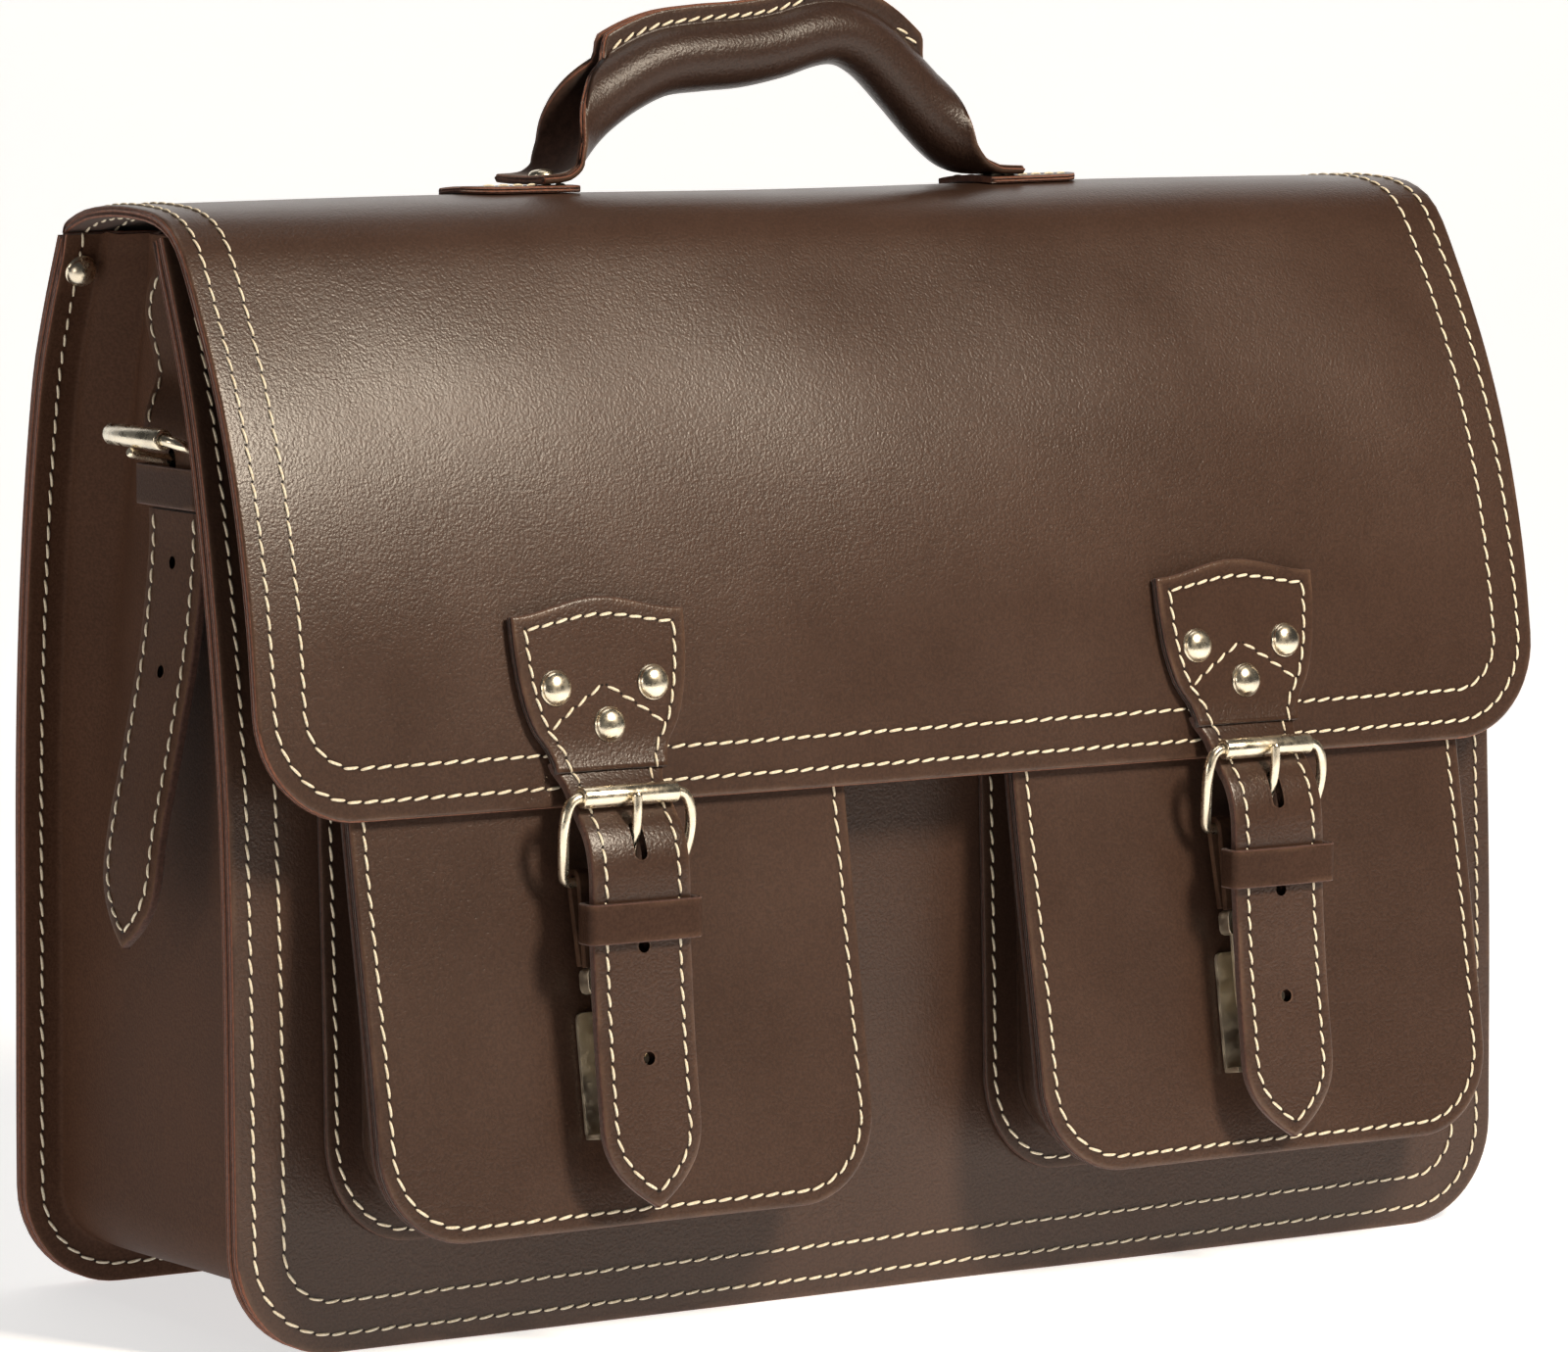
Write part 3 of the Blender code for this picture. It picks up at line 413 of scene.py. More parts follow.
BROWN = (0.064, 0.0335, 0.0225)
BOARD = grain_leather("board_leather", BROWN, (OUTER_SEAM, INNER_SEAM))
SINGLE_SEAM = grain_leather("single_seam_leather", BROWN, (OUTER_SEAM,))
POCKET_LEATHER = grain_leather("pocket_leather", BROWN, (POCKET_SEAM,))
STRAP_LEATHER = grain_leather("strap_leather", BROWN, (STRAP_SEAM,), 0.30, wear=0.7)
SIDE_LEATHER = grain_leather(
    "side_strap_leather", (0.085, 0.043, 0.027), (STRAP_SEAM,), 0.55, wear=0.7, gloss=0.08
)
PLAIN_LEATHER = grain_leather("plain_leather", (0.058, 0.030, 0.020), (), 0.48, gloss=0.10)
GUSSET_LEATHER = grain_leather(
    "gusset_leather", (0.090, 0.044, 0.027), (OUTER_SEAM,), 0.55, wear=0.3, gloss=0.08
)
POCKET_SIDES = grain_leather(
    "pocket_side_leather", (0.055, 0.029, 0.020), (POCKET_SIDE_SEAM,), 0.36, wear=0.3, gloss=0.3
)
HANDLE_LEATHER = grain_leather(
    "handle_leather", (0.048, 0.026, 0.019), (), 0.35, wear=0.6, grain=1.2, gloss=0.34
)
FLESH = fibre_leather("flesh_side", (0.075, 0.036, 0.025), 500)
CUT_EDGE = fibre_leather("cut_edge", (0.230, 0.088, 0.052), 900, 0.8)
DARK_EDGE = fibre_leather("dark_edge", (0.095, 0.044, 0.032), 900, 0.75)
# Nearly black skin for the flat discs at the needle holes: painted shade.
NEEDLE_HOLE_SHADE = fibre_leather("needle_hole_shade", (0.012, 0.007, 0.005), 900)
CORE = fibre_leather("filler_cord", (0.085, 0.045, 0.032), 800)
THREAD_SKIN = thread_material()
NICKEL = plated("warm_nickel", (0.92, 0.83, 0.66), 0.25)
SATIN = plated("satin_nickel", (0.92, 0.83, 0.66), 0.45)
STEEL = plated("spring_steel", (0.66, 0.60, 0.50), 0.30)


# Making pieces


def belongs(piece, node):
    """The piece stands for a CAD node and moves with its body."""
    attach(piece, frame["nodes"][node]["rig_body"])
    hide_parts(node)
    return piece


def uneven(points):
    """A hand-made unevenness: slow waves a fraction of a millimetre high, shared by all the leather."""
    x, y, z = (points[..., axis] for axis in range(3))
    slow, quick = np.sin(0.031 * x + 0.9) * np.cos(0.043 * z + 0.4), np.sin(0.067 * x + 0.051 * z)
    wave = 0.42 * (slow + 0.45 * quick)
    lift = 0.35 * np.sin(0.029 * x + 0.06 * y + 0.7) * np.clip((z - 270) / 20, 0, 1)
    return points + np.stack([np.zeros_like(x), wave, lift], axis=-1)


def to_frame(points):
    """From the bag's own coordinates in millimetres to the frame's in metres."""
    return (np.asarray(points, float) - np.array((0.0, MIDDLE_Y, 0.0))) * MM


def settled(point):
    """One point with the leather's unevenness under it, as a frame place in metres."""
    return Vector(to_frame(uneven(np.array(point, float))))


def link(name, data):
    made = bpy.data.objects.new(name, data)
    bpy.context.scene.collection.objects.link(made)
    return made


def mesh_from(name, verts, faces, skins, skin_of=None):
    mesh = bpy.data.meshes.new(name)
    mesh.from_pydata([tuple(vert) for vert in verts], [], faces)
    for skin in skins:
        mesh.materials.append(skin)
    if skin_of is not None:
        mesh.polygons.foreach_set("material_index", skin_of)
    mesh.shade_smooth()
    return mesh


def finished(name, bm):
    mesh = bpy.data.meshes.new(name)
    bm.to_mesh(mesh)
    bm.free()
    return mesh


def sheet(name, columns, rows, place, thick, skins, offset=-1, rounded=0.8, flip=False, closed=False):
    """A sheet of leather over a grid. place(u, v) gives x, y, z and the distance from the cut edge.

    Its skins are those of the grain side and the cut edge. An offset of -1 puts the thickness behind
    the grid, 0 to both sides of it, and 1 in front.
    """
    spots = np.array([[place(u, v) for u in columns] for v in rows], float)
    points, edges = spots[..., :3], spots[..., 3]
    if closed:
        across = np.roll(points, -1, 1) - np.roll(points, 1, 1)
    else:
        across = np.gradient(points, axis=1)
    normals = np.cross(across, np.gradient(points, axis=0))
    normals /= np.maximum(np.linalg.norm(normals, axis=-1), 1e-12)[..., None]
    if flip:
        normals = -normals
    short = rounded - np.clip(edges, 0, rounded)
    sunk = rounded - np.sqrt(rounded**2 - short**2)
    outer = points + normals * (thick * (offset + 1) / 2 - sunk)[..., None]
    inner = points + normals * (thick * (offset - 1) / 2 + sunk)[..., None]
    tall, wide = edges.shape
    count = tall * wide
    faces, skin_of = [], []

    def face(corners, side):
        """side is 0 for the grain side, 1 for the flesh side, 2 for the cut edge."""
        bare = np.mean([edges.flat[corner % count] for corner in corners]) < 0.32
        faces.append(corners if flip == (side == 1) else corners[::-1])
        skin_of.append(2 if bare else side)

    steps = [(c, (c + 1) % wide) for c in range(wide if closed else wide - 1)]
    for r in range(tall - 1):
        for c, after in steps:
            quad = (r * wide + c, r * wide + after, (r + 1) * wide + after, (r + 1) * wide + c)
            face(quad[::-1], 0)
            face(tuple(count + corner for corner in quad)[::-1], 1)
    rim = steps + [((tall - 1) * wide + after, (tall - 1) * wide + c) for c, after in steps]
    if not closed:
        rim += [((r + 1) * wide, r * wide) for r in range(tall - 1)]
        rim += [(r * wide + wide - 1, (r + 1) * wide + wide - 1) for r in range(tall - 1)]
    for start, end in rim:
        faces.append((start, count + start, count + end, end)[:: -1 if flip else 1])
        skin_of.append(2)
    verts = to_frame(uneven(np.concatenate([outer.reshape(-1, 3), inner.reshape(-1, 3)])))
    mesh = mesh_from(name, verts, faces, [skins[0], FLESH, skins[1]], skin_of)
    layer = mesh.attributes.new("edge", "FLOAT", "POINT")
    layer.data.foreach_set("value", np.concatenate([edges.ravel(), edges.ravel()]))
    return link(name, mesh)


def leather(node, *grid, **manner):
    return belongs(sheet(node + "_leather", *grid, **manner), node)


def pierce(piece, holes):
    """Cut holes through a piece: each is (point, direction, radius, stretch, along)."""
    cutters = []
    for point, direction, radius, stretch, along in holes:
        direction = Vector(direction).normalized()
        along = Vector(along) - direction * direction.dot(Vector(along))
        along.normalize()
        turned = Matrix((along.cross(direction), along, direction)).transposed()
        bm = bmesh.new()
        bmesh.ops.create_cone(bm, segments=24, radius1=radius, radius2=radius, depth=16, cap_ends=True)
        for vert in bm.verts:
            vert.co.y += math.copysign(stretch / 2, vert.co.y) if abs(vert.co.y) > 1e-6 else 0.0
            vert.co = settled(point) + turned @ vert.co * MM
        bmesh.ops.recalc_face_normals(bm, faces=bm.faces)
        for made in bm.faces:
            made.material_index = 2
        cutters.append(link("punch", finished("punch", bm)))
        hole = piece.modifiers.new("hole", "BOOLEAN")
        hole.operation = "DIFFERENCE"
        hole.object = cutters[-1]
    graph = bpy.context.evaluated_depsgraph_get()
    graph.update()
    mesh = bpy.data.meshes.new_from_object(piece.evaluated_get(graph), depsgraph=graph)
    piece.modifiers.clear()
    piece.data = mesh
    mesh.set_sharp_from_angle(angle=math.radians(50))
    for made in cutters:
        bpy.data.objects.remove(made, do_unlink=True)


# Thread


def stitches(name, lines, body, spacing=BOARD_STITCHES, slant=8.0):
    """Saddle stitches along lines of (point, normal); each bows up and dips into a needle hole, drawn as a
    flat dark disc of painted shade.
    """
    verts, faces, skin_of = [], [], []
    sides, rings, rim = 6, 7, 8
    pitch, length = spacing
    for line in lines:
        points = np.array([point for point, _ in line], float)
        normals = np.array([normal for _, normal in line], float)
        marks = marks_along(points)
        count = max(1, round(marks[-1] / pitch))
        step = marks[-1] / count
        for index in range(count):
            centre = (index + 0.5) * step + 0.1 * math.sin(12.9 * index)
            start = between(centre - length / 2, marks, points)
            end = between(centre + length / 2, marks, points)
            middle = between(centre, marks, points)
            normal = between(centre, marks, normals)
            normal /= np.linalg.norm(normal)
            run = (end - start) / np.linalg.norm(end - start)
            across = np.cross(normal, run)
            tilt = math.tan(math.radians(slant + 2.5 * math.sin(7.3 * index)))
            first = len(verts)
            for ring in range(rings):
                share = ring / (rings - 1)
                bend = 4 * share * (1 - share)
                spot = start + (end - start) * share + (middle - (start + end) / 2) * bend
                aside, bow = (share - 0.5) * length * tilt, 0.42 * bend**0.6 - 0.22
                spot = spot + across * aside + normal * bow
                thick = THREAD * (0.5 + 0.5 * bend**0.5)
                for cos, sin in circle(sides):
                    verts.append(spot + (across * cos + normal * 0.8 * sin) * thick)
            for ring in range(rings - 1):
                for side in range(sides):
                    after = (side + 1) % sides
                    low, high = first + ring * sides, first + (ring + 1) * sides
                    faces.append((low + side, low + after, high + after, high + side))
            faces.append([first + side for side in reversed(range(sides))])
            faces.append([first + (rings - 1) * sides + side for side in range(sides)])
            skin_of += [0] * ((rings - 1) * sides + 2)
            # A flat dark disc just over the leather past each stitch: painted shade for its needle hole.
            hole = end + run * (step - length) / 2 + normal * 0.07
            first = len(verts)
            verts += [hole + across * (0.32 * cos) + run * (0.36 * sin) for cos, sin in circle(rim)]
            faces.append(list(range(first, first + rim))[::-1])
            skin_of.append(1)
    skins = [THREAD_SKIN, NEEDLE_HOLE_SHADE]
    made = link(name, mesh_from(name, to_frame(uneven(np.array(verts))), faces, skins, skin_of))
    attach(made, body)


# Boards: the front, the back, the flap and the pockets' faces


EDGE_STEPS = (0, 0.06, 0.2, 0.45, 0.85, 1.6, 2.7, 3.8, 5, 6.2, 8.2, 10.6, 12.3, 13.5, 14.7, 18)


def banded(steps, shares):
    """Columns over a board: steps in from either edge, and shares of the width between them."""
    middle = [(0, share) for share in shares]
    return [(-1, inset) for inset in steps] + middle + [(1, inset) for inset in reversed(steps)]


class Board:
    """A board of leather with two rounded lower corners, bent to a profile."""

    def __init__(self, profile, full, radius, centre=0.0, side=1):
        self.profile, self.fulls, self.radius = profile, full, radius
        self.centre, self.side = centre, side

    def full(self, mark):
        low, high = self.fulls
        return low + (high - low) * mark / self.profile.length

    def half(self, mark):
        full, radius = self.full(mark), self.radius
        if mark >= radius:
            return full
        return full - radius + math.sqrt(max(0.0, radius**2 - (radius - mark) ** 2))

    def edge(self, x, mark):
        full, radius = self.full(mark), self.radius
        if abs(x) > full - radius and mark < radius:
            return max(0.0, radius - math.hypot(abs(x) - full + radius, radius - mark))
        return max(0.0, min(full - abs(x), mark, self.profile.length - mark))

    def point(self, x, mark, out=0.0):
        return (self.centre + x, *self.profile.at(mark, out * self.side))

    def normal(self, mark, side=1):
        return (0.0, *(self.profile.normal(mark) * self.side * side))

    def make(self, node, thick, skins, spacing=6.0):
        radius, length = self.radius, self.profile.length
        middle = EDGE_STEPS[-1]
        low = [mark for mark in EDGE_STEPS if mark < radius - 2]
        low += [mark for mark in (18, 21, 24) if low[-1] + 1 < mark < radius - 1]
        rows = low + list(np.linspace(radius, length - 5, round((length - radius) / spacing)))
        rows += [length - mark for mark in reversed(EDGE_STEPS) if mark < 4]
        inner = round((self.fulls[0] - middle) * 2 / spacing)
        columns = banded(EDGE_STEPS, np.linspace(-1, 1, inner + 1)[1:-1])

        def place(column, mark):
            sign, value = column
            half = self.half(mark)
            x = sign * (half - value) if sign else value * (half - middle)
            return (*self.point(x, mark), self.edge(x, mark))

        leather(node, columns, rows, place, thick, skins, flip=self.side < 0)

    def seam(self, inset, out=THREAD_LIFT, side=1):
        """Points and normals along a row of stitches round three sides, this far in from the edge."""
        radius, top = self.radius - inset, self.profile.length - 2
        line = [(-(self.full(mark) - inset), mark) for mark in np.linspace(top, self.radius, 80)]
        core = self.full(self.radius) - self.radius
        line += [(-core - radius * cos, self.radius - radius * sin) for cos, sin in circle(20, 1)[1:-1]]
        around = len(line)
        line += [(share * core, inset) for share in np.linspace(-1, 1, 80)]
        line += [(-x, mark) for x, mark in reversed(line[:around])]
        return [(self.point(x, mark, out), self.normal(mark, side)) for x, mark in line]


def make_boards():
    half = (HALF_WIDTH, HALF_WIDTH)
    front = Board(FRONT, half, PANEL_CORNER)
    front.make("front_panel", PANEL_THICK, (BOARD, CUT_EDGE))
    stitches("front_panel_thread", [front.seam(OUTER_SEAM), front.seam(INNER_SEAM)], "bag")
    back = Board(BACK, half, PANEL_CORNER, side=-1)
    back.make("back_panel", PANEL_THICK, (SINGLE_SEAM, CUT_EDGE))
    stitches("back_panel_thread", [back.seam(OUTER_SEAM)], "bag")
    flap = Board(FLAP, FLAP_HALF, PANEL_CORNER)
    flap.make("flap", FLAP_THICK, (BOARD, CUT_EDGE), 5.0)
    faces = ((THREAD_LIFT, 1), (-FLAP_THICK - THREAD_LIFT, -1))
    rows = [flap.seam(inset, *face) for face in faces for inset in (OUTER_SEAM, INNER_SEAM)]
    stitches("flap_thread", rows, "flap")
    for side, sign, _ in SIDES:
        pocket = Board(POCKET, (POCKET_HALF, POCKET_HALF), POCKET_CORNER, sign * POCKET_X)
        pocket.make("pocket_panel_" + side, PANEL_THICK, (POCKET_LEATHER, DARK_EDGE), 4.5)
        stitches("pocket_thread_" + side, [pocket.seam(POCKET_SEAM)], "bag")


# Gussets


def u_path(half, low, radius, top, spacing, per_corner):
    """Points round a U, down its left side and up its right, each with its inward normal."""
    sides = np.linspace(top, low + radius, round((top - low - radius) / spacing))
    path = [(-half, z, 1.0, 0.0) for z in sides]
    for cos, sin in circle(per_corner, 1)[1:-1]:
        path.append((-half + radius - radius * cos, low + radius - radius * sin, cos, sin))
    path += [(share * (half - radius), low, 0.0, 1.0) for share in np.linspace(-1, 0, 12)]
    return path + [(-x, z, -inward_x, inward_z) for x, z, inward_x, inward_z in reversed(path[:-1])]


class Gusset:
    """A strip bent round a U, its two edges turned out as flanges against the front and the back."""

    def __init__(self, front, back, thick, centre=0.0, drop=0.0, fold=None):
        self.front, self.back, self.thick = front, back, thick
        self.centre, self.drop, self.fold = centre, drop, fold

    def point(self, station, inset, share, shift):
        x, z, inward_x, inward_z = station
        if self.fold:
            inset = inset + self.fold(z, share)
        x += inset * inward_x
        z += inset * inward_z - self.drop * share * inward_z
        start, end = self.front.y_at(z), self.back.y_at(z)
        return self.centre + x, start + share * (end - start) + shift, z

    def make(self, node, path, section, skins):
        def place(row, station):
            inset, share, shift = section[row]
            edge = inset if share in (0, 1) and inset < 9 else 30.0
            return (*self.point(path[station], inset, share, shift), edge)

        rows, stations = range(len(section)), range(len(path))
        leather(node, rows, stations, place, self.thick, skins, 1, 0.55)

    def seam(self, path, inset, share):
        """A row of stitches on a flange's grain side."""
        inwards = 1 if share == 0 else -1
        line = []
        for station in path:
            point = self.point(station, inset, share, inwards * (self.thick + THREAD_LIFT))
            line.append((point, (0, inwards, 0)))
        return line


def main_fold(z, share):
    """The side wall draws in towards the top, most of all in a soft fold beside the back panel."""
    if share <= 0.0 or share >= 1.0:
        return 0.0

    def across(start, end):
        """1 over the wall, but 0 at the front and from start to end, where it fades out."""
        return smoothstep(0.0, 0.1, share) * (1 - smoothstep(start, end, share))

    draw = 3.5 * smoothstep(60, 240, z) * across(0.8, 1.0)
    beside_strap = 3.6 * across(0.58, 0.75) * hump(z, 228, 34)
    waves = 0.5 * across(0.88, 1.0) * math.sin(0.035 * z + 5 * share)
    fold = 8.0 * smoothstep(60, 280, z) * hump(share, 0.83, 0.13) * (1 - smoothstep(0.9, 1.0, share))
    return draw + beside_strap + waves + fold


FLANGE = (0, 0.06, 0.2, 0.5, 1.2, 2.4, 3.7, 5, 6.3, 7.8)


def make_gussets():
    bend = [(inset, 0) for inset in FLANGE]
    bend += [(9.2, 0.02), (10.4, 0.12), (11.4, 0.5), (12.3, 1.15), (12.9, 2.0), (13.25, 3.1), (WALL, 4.4)]
    section = [(inset, 0, shift) for inset, shift in bend]
    section += [(WALL, share, 0) for share in np.linspace(0.1, 0.88, 23)]
    section += [(inset, 1, -shift) for inset, shift in reversed(bend)]
    path = u_path(HALF_WIDTH, 0.0, PANEL_CORNER, 283.0, 6, 14)
    step_in = PANEL_THICK + SEAM_GAP
    main = Gusset(FRONT.moved(-step_in), BACK.moved(step_in), GUSSET_THICK, fold=main_fold)
    main.make("main_gusset", path, section, (GUSSET_LEATHER, CUT_EDGE))
    stitches("main_gusset_thread", [main.seam(path, OUTER_SEAM, share) for share in (0, 1)], "bag")
    bellows = smooth(
        [(9, 0, 0), (11.4, 0, 0.7), (12, 0.12, 0.8), (9.5, 0.3, 0.5), (7, 0.5, 0), (9.5, 0.7, -0.5),
         (12, 0.88, -0.8), (11.4, 1, -0.7), (9, 1, 0)], 5
    ).tolist()
    section = [(inset, 0, 0) for inset in FLANGE] + bellows
    section += [(inset, 1, 0) for inset in reversed(FLANGE)]
    path = u_path(POCKET_HALF, POCKET_PROFILE[0][1], POCKET_CORNER, 155.0, 5, 12)
    for side, sign, _ in SIDES:
        sides = Gusset(
            POCKET.moved(-step_in), FRONT.moved(SEAM_GAP), POCKET_GUSSET_THICK, sign * POCKET_X,
            POCKET_BASE_DROP,
        )
        sides.make("pocket_gusset_" + side, path, section, (POCKET_SIDES, DARK_EDGE))
        stitches("pocket_gusset_thread_" + side, [sides.seam(path, POCKET_SIDE_SEAM, 1)], "bag")


# Straps


class Strap:
    """A strap along a path on one face of the bag; side is 1 if the path's normal faces out."""

    def __init__(self, face, path, start_half, thick, side=-1, crown=0.5, lean=None):
        self.face, self.path, self.start_half, self.thick = face, path, start_half, thick
        self.side, self.crown, self.lean = side, crown, lean

    def half(self, mark):
        """Narrows from where it starts, runs parallel, and ends in a pointed arch."""
        left = self.path.length - mark
        if left < STRAP_TIP:
            return max(0.5, STRAP_HALF * (1 - (1 - max(left, 0) / STRAP_TIP) ** 2.4))
        return STRAP_HALF + (self.start_half - STRAP_HALF) * (1 - smoothstep(0, 7, mark))

    def slant(self, mark):
        """How much further it is to the edge straight across than square to it."""
        ahead, behind = min(mark + 0.2, self.path.length), max(mark - 0.2, 0)
        return math.sqrt(1 + ((self.half(ahead) - self.half(behind)) / 0.4) ** 2)

    def point(self, x, mark, out=0.0):
        half = self.half(mark)
        sink = self.crown * abs(x / half) ** 3 * min(1.0, half / 10)
        inward, z = self.path.at(mark, self.side * (out - sink))
        return self.face.point(x + (self.lean(z) if self.lean else 0.0), inward, z)

    def normal(self, mark):
        return self.face.vector(0, *(self.path.normal(mark) * self.side))

    def make(self, node, skin, holes):
        body = self.path.length - STRAP_TIP
        marks = list(np.linspace(0, body, round(body / 2.2)))
        marks += [body + STRAP_TIP * (1 - (1 - share) ** 1.8) for share in np.linspace(0, 1, 24)[1:]]
        insets = (0, 0.05, 0.16, 0.36, 0.7, 1.4, 2.5, 3.6, 4.8, 7, 10)
        shares = mirrored([inset / STRAP_HALF - 1 for inset in insets] + [0])

        def place(share, mark):
            half = self.half(mark)
            return (*self.point(share * half, mark), half * (1 - abs(share)) / self.slant(mark))

        name, skins = node + "_leather", (skin, DARK_EDGE)
        piece = sheet(name, shares, marks, place, self.thick, skins, 0, 0.7, self.side < 0)
        pierce(piece, holes)
        belongs(piece, node)

    def hole(self, height):
        mark = self.path.mark_at_z(height)
        return self.point(0, mark), self.normal(mark), HOLE_RADIUS, 0.0, (0, 0, 1)

    def seam(self, start, side=1):
        """Rows of stitches along both edges that meet at the tip."""
        line = []
        for mark in np.linspace(start, self.path.length - STRAP_SEAM, 160):
            x = self.half(mark) - STRAP_SEAM * self.slant(mark)
            if x > 0:
                line.append((x, mark))
        out = side * (self.thick / 2 + THREAD_LIFT)
        return [
            [(self.point(sign * x, mark, out), self.normal(mark) * side) for x, mark in line]
            for sign in (-1, 1)
        ]


# Metal


def wire(name, points, radius, closed=False, taper=False, skin=NICKEL):
    """A round wire through the points; a taper rounds its ends off."""
    curve = bpy.data.curves.new(name, "CURVE")
    curve.dimensions = "3D"
    curve.bevel_depth = radius * MM
    curve.bevel_resolution = 5
    curve.use_fill_caps = True
    spline = curve.splines.new("POLY")
    spline.points.add(len(points) - 1)
    for index, (made, point) in enumerate(zip(spline.points, points)):
        made.co = (*to_frame(point), 1)
        left = min(index, len(points) - 1 - index)
        made.radius = (0.8, 0.95, 1.0)[min(left, 2)] if taper else 1.0
    spline.use_cyclic_u = closed
    curve.materials.append(skin)
    return link(name, curve)


def turned(name, profile, point, axis):
    """A turned piece: a profile of (radius, height) round the axis through the point."""
    bm, segments = bmesh.new(), 40
    axis = Vector(axis).normalized()
    across = axis.orthogonal().normalized()
    other = axis.cross(across)
    rings = []
    for radius, height in profile:
        offsets = [(across * cos + other * sin) * max(radius, 0.001) for cos, sin in circle(segments)]
        rings.append([bm.verts.new(Vector(point) + (axis * height + out) * MM) for out in offsets])
    for low, high in zip(rings, rings[1:]):
        for step in range(segments):
            after = (step + 1) % segments
            bm.faces.new((low[step], low[after], high[after], high[step]))
    bmesh.ops.remove_doubles(bm, verts=bm.verts, dist=0.000004)
    bmesh.ops.recalc_face_normals(bm, faces=bm.faces)
    mesh = finished(name, bm)
    mesh.materials.append(NICKEL)
    mesh.shade_smooth()
    mesh.set_sharp_from_angle(angle=math.radians(50))
    return link(name, mesh)


def rivet(node, radius, height, point, direction):
    """A domed head with a thin flat rim, pressed a little into the leather."""
    sunk, rim, dome = -0.4, 0.5, radius * 0.93
    profile = [(0, sunk), (radius * 0.96, sunk), (radius, -0.1), (radius, 0.25), (dome, rim)]
    profile += [(dome * cos, rim + (height - rim) * sin) for cos, sin in circle(9, 1)[1:]]
    return belongs(turned(node + "_head", profile, settled(point), direction), node)


def refined(node, kind, bevel, skin, angle=35):
    """A CAD piece with its own edges rounded over."""
    name = f"{node}_{kind}"
    bm = bmesh.new()
    bm.from_mesh(frame["nodes"][node].data)
    bmesh.ops.remove_doubles(bm, verts=bm.verts, dist=0.00002)
    bmesh.ops.dissolve_limit(bm, angle_limit=math.radians(2), verts=bm.verts, edges=bm.edges)
    mesh = finished(name, bm)
    mesh.materials.append(skin)
    mesh.shade_smooth()
    piece = link(name, mesh)
    made = piece.modifiers.new("rounded", "BEVEL")
    made.width = bevel * MM
    made.segments = 2
    made.limit_method = "ANGLE"
    made.angle_limit = math.radians(angle)
    piece.modifiers.new("normals", "WEIGHTED_NORMAL").keep_sharp = True
    return belongs(piece, node)


def make_buckle(prefix, side, face, roller_at, heel_at, climb):
    """Frame with bowed arms, polished roller, and the tongue that climbs onto it."""
    roller, heel = face.point(0, *roller_at), face.point(0, *heel_at)
    along = (roller - heel).normalized()
    lift = face.across.cross(along)
    length = (roller - heel).length
    reach, middle = length / 2, (roller + heel) / 2
    corners = (
        (-13.6, 1), (-15.4, 0.99), (-17.3, 0.87), (-18.6, 0.58), (-18.9, 0.1), (-18.0, -0.5),
        (-16.9, -0.87), (-15.2, -0.985), (-13.6, -1),
    )
    left_arm = [(x, y * reach, 1.4 * (1 - y * y)) for x, y in smooth(corners, 4)]
    arms = left_arm + [(-x, y, bow) for x, y, bow in reversed(left_arm)]
    points = [middle + face.across * x + along * y + lift * bow for x, y, bow in arms]
    name = f"{prefix}buckle_frame_{side}"
    belongs(wire(name + "_wire", points, BUCKLE_WIRE, closed=True), name)
    name = f"{prefix}buckle_roller_{side}"
    bore, outer, end = ROLLER_BORE, ROLLER_RADIUS, ROLLER_HALF
    profile = [(bore, -end), (outer - 0.5, -end), (outer - 0.15, -end + 0.15), (outer, -end + 0.5)]
    profile += [(radius, -height) for radius, height in reversed(profile)] + [(bore, -end)]
    belongs(turned(name + "_tube", profile, Vector(to_frame(roller)), face.across), name)
    name = f"{prefix}buckle_prong_{side}"
    wrap = 1.25 + GAP + 1.15
    points = []
    for step in range(15):
        turn = math.radians(-200 + 260 * step / 14)
        points.append(heel + (along * math.sin(turn) + lift * math.cos(turn)) * wrap)
    rise = [heel + along * (length * share) + lift * height for share, height in climb]
    points += [Vector(point) for point in smooth([points[-1], *rise], 5)[1:]]
    belongs(wire(name + "_wire", points, PRONG_WIRE, taper=True), name)


def make_keeper(node, face, at, thick):
    """A loop of thin leather round a strap this thick, with softly rounded corners."""
    half, deep, corner, top = STRAP_HALF + 2.55, thick / 2 + 2.45, 2.4, KEEPER_HEIGHT / 2
    outline = []
    for quarter in range(4):
        centre_x = (half - corner) * (1 if quarter in (0, 3) else -1)
        centre_y = (deep - corner) * (1 if quarter in (0, 1) else -1)
        for step in range(9):
            turn = math.radians(90 * quarter + 90 * step / 8)
            outline.append((centre_x + corner * math.cos(turn), centre_y + corner * math.sin(turn)))
        if quarter in (0, 2):
            sign = 1 if quarter == 0 else -1
            for share in np.linspace(0.85, -0.85, 8):
                swell = 0.25 * (1 - share * share)
                outline.append((sign * share * (half - corner), sign * (deep + swell)))
    rows = mirrored([inset - top for inset in (0, 0.05, 0.15, 0.4, 1.2, 2.6)] + [0])

    def place(index, up):
        x, inward = outline[index]
        return (*face.point(x, at[0] + inward, at[1] + up), top - abs(up))

    skins = (PLAIN_LEATHER, DARK_EDGE)
    leather(node, range(len(outline)), rows, place, KEEPER_THICK, skins, rounded=0.4, closed=True)


# Closing straps


